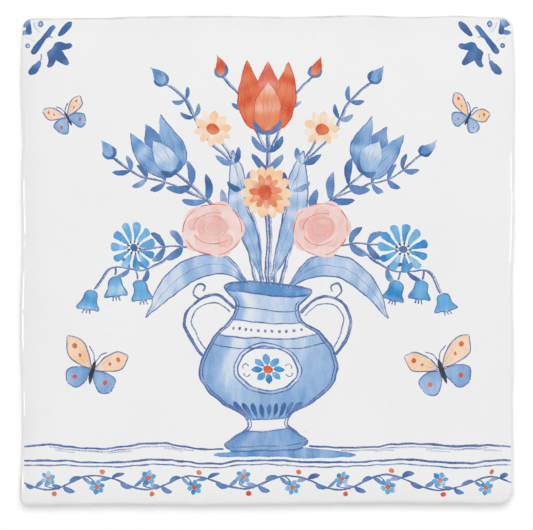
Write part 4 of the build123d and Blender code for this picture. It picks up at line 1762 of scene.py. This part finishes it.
# %% Frieze
VINE = {"middle": -67.2, "rise": 2.1, "period": 29.4}
VINE_POINTS = 41
CRESTS = range(-5, 5)  # crests and hollows in turn, from left to right
HOLLOW_DEPTH = 1.4  # a flower sits this far past the vine's middle line
FRIEZE_FLOWER = {"radii": (0.5, 2.5), "width": 1.5, "count": 6, "loads": (1.0, 0.65), "layer": "petal"}
FLOWER_HEART = 0.75
STALK_STARTS = 3.4  # sideways from the crest
STALK_BEND = (1.2, 1.4)  # to the left of the crest, and back from it
BERRY = 0.76
BERRY_OFF = (1.6, 1.3)  # sideways from a crest, and past it
LEAF_OFF = 4.2  # how far from a crest the pairs of leaves sit
UPPER_LEAF = ((0, 0), (2.0, 0.5), (4.2, 0.2))
UPPER_TURN = 20.0
UPPER_WIDTH = 1.5
LOWER_LEAF = ((0, 0), (1.6, -0.6), (3.2, -1.6))
LOWER_TURN = -15.0
LOWER_WIDTH = 1.2
LEAF_MARGIN = 0.6  # kept clear at the tile's edge
half_period = VINE["period"] / 2

vine_x = np.linspace(-TO_EDGE, TO_EDGE, VINE_POINTS)
vine_y = VINE["middle"] + VINE["rise"] * np.sin(2 * np.pi * vine_x / VINE["period"])
mark("ledge_lines", np.stack((vine_x, vine_y), axis=1), PEN, layer="stem")
for number in CRESTS:
    middle = (number + 0.5) * half_period
    crest = 1 if number % 2 == 0 else -1
    top = VINE["middle"] + crest * VINE["rise"]
    hollow = (middle, VINE["middle"] - crest * HOLLOW_DEPTH)
    bend = (middle - STALK_BEND[0], top - STALK_BEND[1] * crest)
    stalk = ((middle - STALK_STARTS * crest, top), bend, hollow)
    mark("ledge_lines", stalk, FINE_PEN, layer="stem")
    ring_of_petals("frieze_flowers", hollow, **FRIEZE_FLOWER, start=15)
    disc("frieze_berries", hollow, FLOWER_HEART, 0.95, "over")
    for way in (-1, 1):
        rise = crest * VINE["rise"] * np.cos(way * LEAF_OFF / half_period * np.pi)
        joint = np.array((middle + way * LEAF_OFF, VINE["middle"] + rise))
        room = (TO_EDGE - LEAF_MARGIN - way * joint[0]) / UPPER_LEAF[-1][0]
        size = min(1.0, room)  # the outermost leaves are shorter
        upper = placed(UPPER_LEAF * np.array((1, crest)), joint, UPPER_TURN * crest, size, side=way)
        mark("frieze_leaves", upper, UPPER_WIDTH, lens, 0.95, "leaf", fade=(1.1, 0.7), cell=0.4)
        lower = placed(LOWER_LEAF * np.array((1, crest)), joint, LOWER_TURN * crest, side=-way)
        mark("frieze_leaves", lower, LOWER_WIDTH, lens, 0.6, "leaf", fade=(1.1, 0.8), cell=0.4)
    berry = (middle + BERRY_OFF[0], top + BERRY_OFF[1] * crest)
    disc("frieze_berries", berry, BERRY, 0.9, "petal")
paint_piece("ledge_lines", pigments["cobalt_line"])
paint_piece("frieze_flowers", pigments["bright_blue"])
paint_piece("frieze_leaves", pigments["cobalt_brush"])
paint_piece("frieze_berries", pigments["orange_red"])
